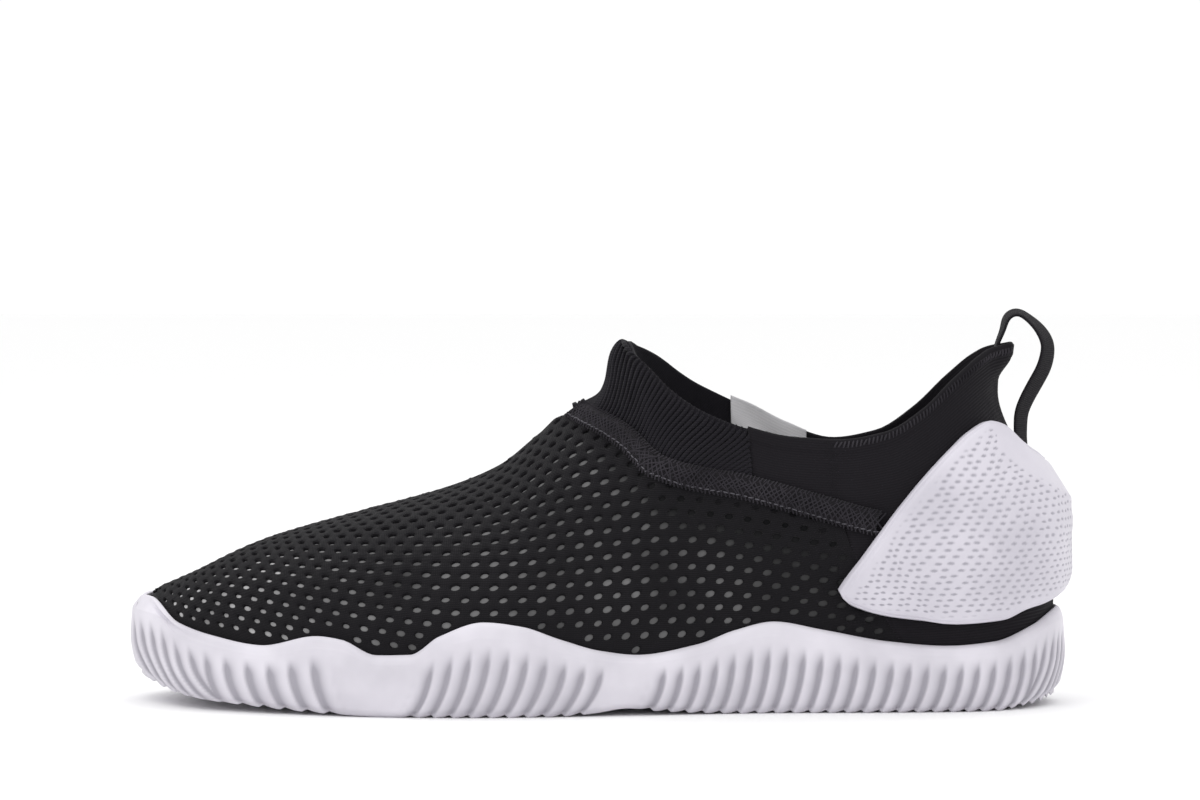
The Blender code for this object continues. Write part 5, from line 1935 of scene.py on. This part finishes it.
def evened_at_ridge(points, u):
    """Takes the kinks out of lines where they cross the ridge."""
    turn = np.abs(u)
    share = 0.5 * (1 - ramp(turn - turn.min(), *EVENING_RUN))[1:-1]
    share = share.reshape((-1,) + (1,) * (points.ndim - 1))
    for _ in range(EVENING_ROUNDS):
        middle = (points[:-2] + points[2:]) / 2
        points[1:-1] += (middle - points[1:-1]) * share
    return points


def aside_of(u, v):
    """Directions across a line on the skin, turning evenly where it crosses the ridge."""
    along = np.gradient(evened_at_ridge(skin(u, v), u), axis=0)
    facing = evened_at_ridge(facing_of(u, v), u)
    return unit(np.cross(facing, along))


def strip_mesh():
    u, v = fine_path(STRIP_STATIONS)
    aside = aside_of(u, v)
    inside = []
    outside = []
    swell = 0.5 + 0.5 * np.sin(np.arange(len(u)) * 1.9)
    for way in STRIP_COURSES:
        edge_u, edge_v = walk(u, v, aside * way, BAND_WIDTH / 2)
        crown = math.sqrt(max(0.0, 1 - abs(way) ** 3))
        stand = BAND_THICKNESS * (STRIP_LOW + STRIP_RISE * crown) + STRIP_RIPPLE * swell * crown
        inside.append(upper_point(edge_u, edge_v, -0.0002))
        outside.append(upper_point(edge_u, edge_v, GAP + STRIP_SEAT + stand))
    rings = evened_at_ridge(np.stack(inside + outside[::-1], 1), u)
    run = np.cumsum(np.linalg.norm(np.gradient(skin(u, v), axis=0), axis=-1))
    across = np.concatenate([STRIP_COURSES, STRIP_COURSES[::-1]]) * BAND_WIDTH / 2
    cloth = np.stack(np.broadcast_arrays(run[:, None], across[None, :]), -1)
    return ring_piece("seam_strip", rings, cloth)


strip = add_piece("seam_strip", strip_mesh(), [SEAM_YARN], "overlock_seam", "seam_band")
print("strip faces:", len(strip.data.polygons))

# %% Thread tree
def thread_heading(tree, given):
    """Stands each thread on the cloth, heads it along the line and turns it by its angle."""
    kept = {"data_type": "FLOAT_VECTOR"}
    facing = add_node(tree, "GeometryNodeInputNamedAttribute", kept, Name="facing")
    tangent = add_node(tree, "GeometryNodeInputTangent")
    align = "FunctionNodeAlignRotationToVector"
    upright = add_node(tree, align, {"axis": "Z"}, Vector=facing.outputs["Attribute"])
    heading = {"axis": "X", "pivot_axis": "Z"}
    headed = add_node(tree, align, heading, Rotation=upright, Vector=tangent)
    chance = add_node(tree, "FunctionNodeRandomValue", {"data_type": "FLOAT"}, Seed=given["Seed"])
    link(tree, math_node(tree, "MULTIPLY", given["Jitter"], -1.0), chance.inputs[2])
    link(tree, given["Jitter"], chance.inputs[3])
    angle = math_node(tree, "ADD", given["Angle"], chance.outputs[1])
    twist = add_node(tree, "FunctionNodeAxisAngleToRotation", Axis=(0, 0, 1), Angle=angle)
    own = {"rotation_space": "LOCAL"}
    return add_node(tree, "FunctionNodeRotateRotation", own, Rotation=headed, Rotate_By=twist)


def thread_tree():
    """Lays one short bent thread after another along guide lines."""
    numbers = {
        "Spacing": 0.0011, "Length": 0.0060, "Thickness": 0.0004,
        "Angle": 0.6, "Lift": 0.0003, "Jitter": 0.1,
    }
    sockets = [(name, "NodeSocketFloat", value) for name, value in numbers.items()]
    sockets += [("Seed", "NodeSocketInt", 3), ("Material", "NodeSocketMaterial", None)]
    tree, entry, leave = new_tree("laid_threads", sockets)
    given = entry.outputs
    curve = add_node(tree, "GeometryNodeMeshToCurve", Mesh=given["Geometry"])
    by_length = {"mode": "LENGTH"}
    sample = add_node(
        tree, "GeometryNodeResampleCurve", by_length, Curve=curve, Length=given["Spacing"]
    )
    turned = thread_heading(tree, given)
    half = math_node(tree, "MULTIPLY", given["Length"], 0.5)
    back = math_node(tree, "MULTIPLY", given["Length"], -0.5)
    low = math_node(tree, "MULTIPLY", given["Lift"], -1.0)
    crest = math_node(tree, "MULTIPLY", given["Lift"], 2.0)
    bow = add_node(tree, "GeometryNodeCurveQuadraticBezier", Resolution=6)
    for name, x, z in (("Start", back, low), ("Middle", 0.0, crest), ("End", half, low)):
        place = add_node(tree, "ShaderNodeCombineXYZ", X=x, Z=z)
        link(tree, place.outputs[0], bow.inputs[name])
    thick = math_node(tree, "MULTIPLY", given["Thickness"], 0.5)
    profile = add_node(tree, "GeometryNodeCurvePrimitiveCircle", Resolution=6, Radius=thick)
    body = add_node(
        tree, "GeometryNodeCurveToMesh", Fill_Caps=True, Curve=bow, Profile_Curve=profile
    )
    laid = add_node(
        tree, "GeometryNodeInstanceOnPoints", Points=sample, Instance=body, Rotation=turned
    )
    real = add_node(tree, "GeometryNodeRealizeInstances", Geometry=laid)
    paint = add_node(
        tree, "GeometryNodeSetMaterial", Geometry=real, Material=given["Material"]
    )
    link(tree, paint.outputs[0], leave.inputs[0])
    return tree


THREADS = thread_tree()
print("tree:", THREADS.name)

# %% Overlock threads
# place across the strip, spacing, length, thickness, degrees, lift and tone
OVERLOCK_ROWS = [
    (0.00, 0.00150, 0.0074, 0.00052, 48, 0.00042, "dark"),
    (0.05, 0.00150, 0.0074, 0.00052, -48, 0.00030, "dark"),
    (0.78, 0.00190, 0.0015, 0.00040, 8, 0.00012, "grey"),
    (-0.80, 0.00110, 0.0018, 0.00046, 62, 0.00012, "dark"),
    (0.93, 0.00120, 0.0016, 0.00046, -62, 0.00012, "dark"),
]
THREAD_STATIONS = 240
RIDGE_SHARE = 0.5


def thread_guide(course, length):
    """Guide lines along the seam, short of the ridge, with the cloth's facing on their points."""
    u, v = fine_path(THREAD_STATIONS)
    aside = aside_of(u, v)
    edge_u, edge_v = walk(u, v, aside * course, BAND_WIDTH / 2)
    crown = math.sqrt(max(0.0, 1 - abs(course) ** 3))
    stand = GAP + STRIP_SEAT + BAND_THICKNESS * (STRIP_LOW + STRIP_RISE * crown)
    line = evened_at_ridge(upper_point(edge_u, edge_v, stand), u)
    facing = evened_at_ridge(facing_of(edge_u, edge_v), u)
    run = run_of(line)
    away = run - run[len(u) // 2]
    sides = [away < -length * RIDGE_SHARE, away > length * RIDGE_SHARE]
    lines = [line[side] for side in sides]
    return guide_mesh("thread_line", lines, facing=[facing[side] for side in sides])


for row, (course, spacing, length, thick, degrees, lift, tone) in enumerate(OVERLOCK_ROWS):
    material = THREAD_DARK if tone == "dark" else THREAD_GREY
    made = grown(
        "overlock_thread_%d" % (row + 1), thread_guide(course, length), THREADS, material,
        Spacing=spacing, Length=length, Thickness=thick, Lift=lift,
        Angle=math.radians(degrees), Jitter=0.26, Seed=row + 3,
    )
    add_piece(made.name, made, [material], "overlock_seam", "seam_band")
    print(made.name, "faces:", len(made.polygons))

# %% Rim stitches
RIM_TURNS = (0.805, 0.985)
RIM_ROW = 0.985
RIM_PIECE = dict(Spacing=0.00125, Length=0.0019, Thickness=0.00062, Lift=0.00026)
RIM_ANGLE = math.radians(58)


def rim_guide():
    """Guide lines just below the rim at the rear, one on each side."""
    turns = np.linspace(*RIM_TURNS, THREAD_STATIONS)
    rows = np.full(turns.shape, RIM_ROW)
    lines = [upper_point(side * turns, rows, GAP) for side in (-1, 1)]
    return guide_mesh("rim_line", lines, facing=[facing_of(side * turns, rows) for side in (-1, 1)])


rim_mesh = grown(
    "rim_stitches", rim_guide(), THREADS, THREAD_DARK,
    Angle=RIM_ANGLE, Jitter=0.3, Seed=11, **RIM_PIECE
)
add_piece("rim_stitches", rim_mesh, [THREAD_DARK], "overlock_seam", "upper")
print("rim stitches, faces:", len(rim_mesh.polygons))


# %% [markdown]
# ## The heel clip
# The clip is one moulded piece: a hood that hugs the heel, with a bright bevelled front edge, a
# thin groove just inside it and a skin of small staggered dimples that makes it grippy. Dimples
# cut one by one would be slow, so the face is one fine grid laid on the heel, and every point is
# pushed in by the dimple that it falls in; the dimples are also painted darker, as painted shade.
# The pattern runs in the clip's own millimetres.

# %% Clip dimples
DIMPLE_ROW = 0.00172
DIMPLE_PITCH = 0.00235
DIMPLE_LONG = 0.00072
DIMPLE_SHORT = 0.00036
DIMPLE_DEPTH_CLIP = 0.00030
CLIP_BEVEL = 0.0040
CLIP_LIP = 0.0007
GROOVE_AT = 0.0013
GROOVE_WIDTH = 0.00035
# Shares of the clip's wall at its edge, over its lip and up its bevel
CLIP_EDGE, CLIP_STEP, CLIP_ROUND = 0.16, 0.34, 0.50
CLIP_GROOVE = 0.00030
FACET_EDGE = ((0.905, 0.700), (0.919, 0.658), (0.938, 0.615), (0.9666, 0.5645), (1.0, 0.500))


# The outer face at the very back, as seen from the side: height and place along, in metres
CLIP_BACK = ((0.0385, 0.1427), (0.0618, 0.1423), (0.0735, 0.1349))
BACK_TURNS = (0.90, 0.985)
BACK_SHARES = (0.02, 0.20)
BACK_LIMITS = (-0.0004, 0.0030)


def dimple_mask(x, y):
    """1 in the middle of the dimple that a point falls in, 0 between dimples."""
    row = np.round(y / DIMPLE_ROW)
    shift = 0.5 * (row % 2)
    wobble = 0.10 * np.sin(row * 12.9898 + np.round(x / DIMPLE_PITCH - shift) * 78.233)
    cell = np.round(x / DIMPLE_PITCH - shift) + shift + wobble
    dx = (x - cell * DIMPLE_PITCH) / DIMPLE_LONG
    dy = (y - (row + wobble * 0.8) * DIMPLE_ROW) / DIMPLE_SHORT
    away = np.sqrt(dx * dx + dy * dy)
    return 1 - ramp(away, 0.35, 1.15)


print("dimple pitch in mm:", DIMPLE_PITCH * 1000, "by", DIMPLE_ROW * 1000)

# %% Stations of the clip
CLIP_BASE_LINE = [
    (0.735, 0.345), (0.749, 0.318), (0.761, 0.293), (0.798, 0.264), (0.833, 0.252),
    (0.872, 0.242), (0.915, 0.248), (0.94, 0.275), (0.957, 0.286), (0.984, 0.313), (1, 0.316),
]
CLIP_FRONT = 0.772

# Where the clip starts to stand off the upper, round the heel and across the clip
HOOD_TURNS = (0.90, 0.985)
HOOD_SHARES = (0.40, 0.75)

CLIP_STATIONS = 470
CLIP_ROWS = 150
CLIP_INSIDE_ROWS = 10


def clip_frame():
    """Stations round the heel and the rows of the clip at each, from its base to its top."""
    u = np.linspace(-CLIP_FRONT, CLIP_FRONT - 2, CLIP_STATIONS)
    low = up_to(u, side_line(CLIP_BASE_LINE))
    high = up_to(u, side_line(CLIP_TOP_LINE))
    shares = np.linspace(0, 1, CLIP_ROWS)
    rows = low[:, None] + (high - low)[:, None] * shares[None, :]
    return u, rows, shares


print("clip stations:", CLIP_STATIONS, "rows:", CLIP_ROWS)


# %% Heel clip
def clip_mesh():
    u, rows, shares = clip_frame()
    grid = np.broadcast_to(u[:, None], rows.shape)
    turn = np.abs(wrap(grid))
    surface = skin(grid, rows)
    steps = np.linalg.norm(np.diff(surface, axis=1), axis=-1)
    up = np.concatenate([np.zeros((len(u), 1)), np.cumsum(steps, 1)], 1)
    height = up[:, -1:]
    front = (turn - CLIP_FRONT) * SIDE_GIRTH
    slope = np.gradient(surface[:, -1, 2]) / np.gradient(surface[:, -1, 0])
    lean = 1 / np.sqrt(1 + slope**2)
    from_top = (height - up) * lean[:, None]
    edge = np.minimum(np.minimum(front + 0.0004, up), from_top)
    bevel = np.sqrt(np.clip(1 - (1 - np.clip(edge / CLIP_BEVEL, 0, 1)) ** 2, 0, 1))
    lip = ramp(edge, -0.0002, CLIP_LIP)
    stand = CLIP_WALL * (CLIP_EDGE + CLIP_STEP * lip + CLIP_ROUND * bevel)
    groove = np.exp(-(((edge - GROOVE_AT) / GROOVE_WIDTH) ** 2))
    stand = stand - CLIP_GROOVE * groove
    along = along_of(surface[..., 0])
    level = surface[..., 2] / COLLAR_HEIGHT
    facet_at = np.interp(along, [row[0] for row in FACET_EDGE], [row[1] for row in FACET_EDGE])
    facet = ramp(level - facet_at, -0.004, 0.010) * (along > FACET_EDGE[0][0])
    mask = dimple_mask((1 - turn) * SIDE_GIRTH * 0.93, surface[..., 2])
    mask = mask * ramp(edge, CLIP_BEVEL * 0.62, CLIP_BEVEL * 1.1) * (1 - facet)
    stand = stand - DIMPLE_DEPTH_CLIP * mask
    hood_rows = ramp(np.broadcast_to(shares, rows.shape), *HOOD_SHARES)
    hood = CLIP_HOOD * ramp(turn, *HOOD_TURNS) * hood_rows
    seat = GAP + CLIP_SEAT + hood
    outside = upper_point(grid, rows, seat + stand)
    middle = slice(len(u) // 2, len(u) // 2 + 1)
    tip = upper_point(grid[middle], rows[middle], seat[middle] + CLIP_WALL)[0]
    height_back, place_back = np.array(CLIP_BACK).T
    push = np.clip(np.interp(tip[:, 2], height_back, place_back) - tip[:, 0], *BACK_LIMITS)
    push = push * ramp(shares, *BACK_SHARES)
    outside[..., 0] += push * ramp(turn, *BACK_TURNS)
    pick_rows = np.linspace(0, CLIP_ROWS - 1, CLIP_INSIDE_ROWS).astype(int)
    inside = upper_point(grid[:, pick_rows], rows[:, pick_rows], seat[:, pick_rows])
    inside[..., 0] += push[pick_rows] * ramp(turn[:, pick_rows], *BACK_TURNS)
    rings = np.concatenate([outside, inside[:, ::-1]], 1)
    around = rings.shape[1]
    faces = grid_faces(len(u), around, closed_across=True)
    faces += [list(range(around)), list(range((len(u) - 1) * around, len(u) * around))]
    mesh = mesh_of("clip_shell", rings, faces)
    # The plastic reads dimple as painted shade and is painted darker in the dimples
    for name, values in (("dimple", mask), ("facet", facet)):
        kept = np.zeros(rings.shape[:2])
        kept[:, :CLIP_ROWS] = values
        keep_value(mesh, name, kept)
    return clean(mesh, 1e-6)


clip_shell = add_piece("clip_shell", clip_mesh(), [CLIP_PLASTIC], "clip_plastic", "heel_clip")
print("clip faces:", len(clip_shell.data.polygons))


# %% [markdown]
# ## The pull loop
# A loop of flat webbing rises from inside the heel tab, arches back and comes down behind the
# clip, twisting a little on its way so that it shows its edge in front and its face behind. A few
# listed points give the path, a cubic runs through them, and a flat section with rounded edges is
# carried along it.

# %% Webbing
# The free run of the pull loop: how far behind the heel tab it stands, as shares of its reach, how
# far it rises from the clip's top edge to the collar's height, as shares, and its turn to face the
# side, in degrees. Its ends are sewn inside the heel tab and behind the clip.
LOOP = ("reach", "rise", "twist")
LOOP_LINE = [
    (-0.28, 1.088, 3), (-0.204, 1.193, 8), (0.083, 1.243, 10), (0.453, 1.175, 14),
    (0.763, 1.079, 22), (0.946, 0.956, 26), (1, 0.819, 28), (0.997, 0.655, 26),
    (0.736, 0.52, 25), (0.479, 0.401, 23), (0.282, 0.275, 14),
]
LOOP_TAB_ROWS = (0.930, 0.962, 0.992)
LOOP_TAIL_SHARES = (1.092, 1.035, 0.985)
LOOP_SEAT = 0.0025
LOOP_SLACK = 0.0004
WEB_STATIONS = 150
WEB_SIDES = 16
WEB_EDGE = 0.36
WEB_TURN = np.array([1, 1, 1, 1, 1, 1.1, 1.15, 1.25, 1.25, 1.3, 2.0])
WEB_TAIL_TURN = (24.0, 14.0, 6.0)
WEB_EVENING = 26


def web_section():
    """A flat webbing section with rounded edges, in halves of its width and thickness."""
    angle = (np.arange(WEB_SIDES) + 0.5) * 2 * math.pi / WEB_SIDES
    across = np.sign(np.cos(angle)) * np.abs(np.cos(angle)) ** WEB_EDGE
    through = np.sign(np.sin(angle)) * np.abs(np.sin(angle)) ** 0.7
    return across, through


def evened(values):
    """Rounds off the path a little, with its ends kept."""
    for _ in range(WEB_EVENING):
        between = (values[:-2] + 2 * values[1:-1] + values[2:]) / 4
        values = np.concatenate([values[:1], between, values[-1:]])
    return values


print("webbing in mm:", 1000 * LOOP_WIDTH, "by", 1000 * LOOP_THICKNESS)


# %% Pull loop
def loop_path():
    half = LOOP_THICKNESS / 2
    tab_rows = np.array(LOOP_TAB_ROWS)
    heel = np.ones(len(tab_rows))
    clip_row = up_to(heel, side_line(CLIP_TOP_LINE))
    clip_top = skin(heel, clip_row)[0, 2]
    tail_rows = clip_row * np.array(LOOP_TAIL_SHARES)
    tab = upper_point(heel, tab_rows, -UPPER_WALL - GAP - LOOP_SEAT - half)
    tail = upper_point(heel, tail_rows, GAP + LOOP_SLACK + half)
    free_z = clip_top + (COLLAR_HEIGHT - clip_top) * column(LOOP, LOOP_LINE, "rise")
    back = np.ones(len(free_z))
    level = up_to(back, lambda x, u: free_z)
    free_x = skin(back, level)[:, 0] + LOOP_REACH * column(LOOP, LOOP_LINE, "reach")
    x = np.concatenate([tab[:, 0], free_x, tail[:, 0]])
    z = np.concatenate([tab[:, 2], free_z, tail[:, 2]])
    free_twist = column(LOOP, LOOP_LINE, "twist") * WEB_TURN
    twist = np.concatenate([0 * heel, free_twist, np.array(WEB_TAIL_TURN)])
    run = np.concatenate([[0], np.cumsum(np.hypot(np.diff(x), np.diff(z)))])
    at = np.linspace(0, run[-1], WEB_STATIONS)
    path = [evened(smooth(run, values, at)) for values in (x, z, twist)]
    return at, path[0], path[1], np.radians(path[2])


def loop_mesh():
    at, x, z, twist = loop_path()
    along = unit(np.column_stack([np.gradient(x), np.zeros(len(x)), np.gradient(z)]))
    across = np.tile([0.0, 1.0, 0.0], (len(x), 1))
    thick = np.cross(along, across)
    wide = across * np.cos(twist)[:, None] + thick * np.sin(twist)[:, None]
    flat = np.cross(along, wide)
    middle = np.column_stack([x, np.zeros(len(x)), z])
    side, through = web_section()
    rings = (
        middle[:, None]
        + wide[:, None] * (side * LOOP_WIDTH / 2)[None, :, None]
        + flat[:, None] * (through * LOOP_THICKNESS / 2)[None, :, None]
    )
    cloth = np.stack(np.broadcast_arrays(side[None, :] * LOOP_WIDTH / 2, at[:, None]), -1)
    return ring_piece("loop_webbing", rings, cloth)


loop_piece = add_piece("loop_webbing", loop_mesh(), [WEBBING], "webbing", "pull_loop")
print("loop faces:", len(loop_piece.data.polygons))

# %% [markdown]
# ## The size label
# A bare woven label is folded over the inner rim of the far side and sewn down at its ends. Real
# labels are thin and never lie quite flat, so the sheet is a closed wall with a slight buckle and a
# folded top. It carries no words.

# %% Label
LABEL_START = 0.706
LABEL_END = 0.786
LABEL_TOP = 0.985
LABEL_WALL = 0.00045
LABEL_OVER = 0.0018
LABEL_LONG = 48
LABEL_UP = 22
LABEL_BUCKLE = 0.00035


def label_mesh():
    u = np.linspace(LABEL_START, LABEL_END, LABEL_LONG)
    top = skin(u, np.full(u.shape, LABEL_TOP))[:, 2]
    low = up_to(u, lambda x, at: top - LABEL_DROP)
    share = np.linspace(0, 1, LABEL_UP)
    rows = low[:, None] + (1.0 - low)[:, None] * share[None, :]
    grid = np.broadcast_to(u[:, None], rows.shape)
    across = np.linspace(0, 1, LABEL_LONG)[:, None]
    buckle = LABEL_BUCKLE * np.sin(across * 7.0 + share[None, :] * 3.0)
    back = upper_point(grid, rows, -CUFF_WALL - GAP * 0.6 - 0.00025 + 0 * rows)
    face = facing_of(grid, rows)
    up = unit(skin(u, np.ones(u.shape)) - skin(u, np.full(u.shape, LABEL_TOP)))
    rise = LABEL_OVER * (0.75 + 0.25 * np.sin(np.linspace(0.3, 2.9, LABEL_LONG)))
    lift = up[:, None] * (rise[:, None] * ramp(share, 0.55, 1.0)[None, :])[..., None]
    middle = back + lift - face * (0.0002 + buckle * (1 - share[None, :] ** 4))[..., None]
    front = middle - face * LABEL_WALL
    rings = np.concatenate([middle, front[:, ::-1]], 1)
    run = np.broadcast_to((u * SIDE_GIRTH)[:, None], rings.shape[:2])
    fall = np.concatenate([share, share[::-1]]) * LABEL_DROP
    cloth = np.stack([run, np.broadcast_to(fall[None, :], rings.shape[:2])], -1)
    return ring_piece("woven_label", rings, cloth)


label_piece = add_piece("woven_label", label_mesh(), [LABEL_TWILL], "label_twill", "size_label")
print("label faces:", len(label_piece.data.polygons))

# %% [markdown]
# ## The insole
# The insole is a thin foam sheet with a knitted cover. It lies in the cup of the sole. Its edge
# is rounded and turns up a little where it meets the upper, as a die-cut sheet does once it is
# pushed in.

# %% Insole
INSOLE_STATIONS = 120
INSOLE_ACROSS = 14
INSOLE_ROUND = 0.0016
INSOLE_DISH = 0.0006


def insole_mesh():
    inset = SOLE_WALL + GAP + UPPER_WALL + INSOLE_FIT
    turns = 0.5 - 0.5 * np.cos(np.linspace(0, math.pi, INSOLE_STATIONS))
    edges = [outline(turns * side, np.full(turns.shape, inset))[0] for side in (-1, 1)]
    share = np.linspace(0, 1, INSOLE_ACROSS)[None, :, None]
    flat = edges[0][:, None] * (1 - share) + edges[1][:, None] * share
    half = np.linalg.norm(edges[1] - edges[0], axis=-1) / 2
    inward = half[:, None] * (1 - np.abs(2 * share[..., 0] - 1))
    fall = (1 - inward / INSOLE_ROUND).clip(0, 1)
    rounded = INSOLE_ROUND * (1 - np.sqrt(np.clip(1 - fall**2, 0, 1)))
    dish = INSOLE_DISH * (1 - ramp(inward, 0.0, 0.012))
    bed = bed_height(flat[..., 0]) + GAP
    crown = bed + INSOLE_THICKNESS - rounded - INSOLE_DISH + dish
    top = np.concatenate([flat, crown[..., None]], -1)
    low = np.concatenate([flat, bed[..., None]], -1)
    rings = np.concatenate([top, low[:, ::-1]], 1)
    return ring_piece("insole_sheet", rings, rings[..., :2], caps=False)


insole_piece = add_piece("insole_sheet", insole_mesh(), [INSOLE_FOAM], "insole_foam", "insole")
print("insole faces:", len(insole_piece.data.polygons))
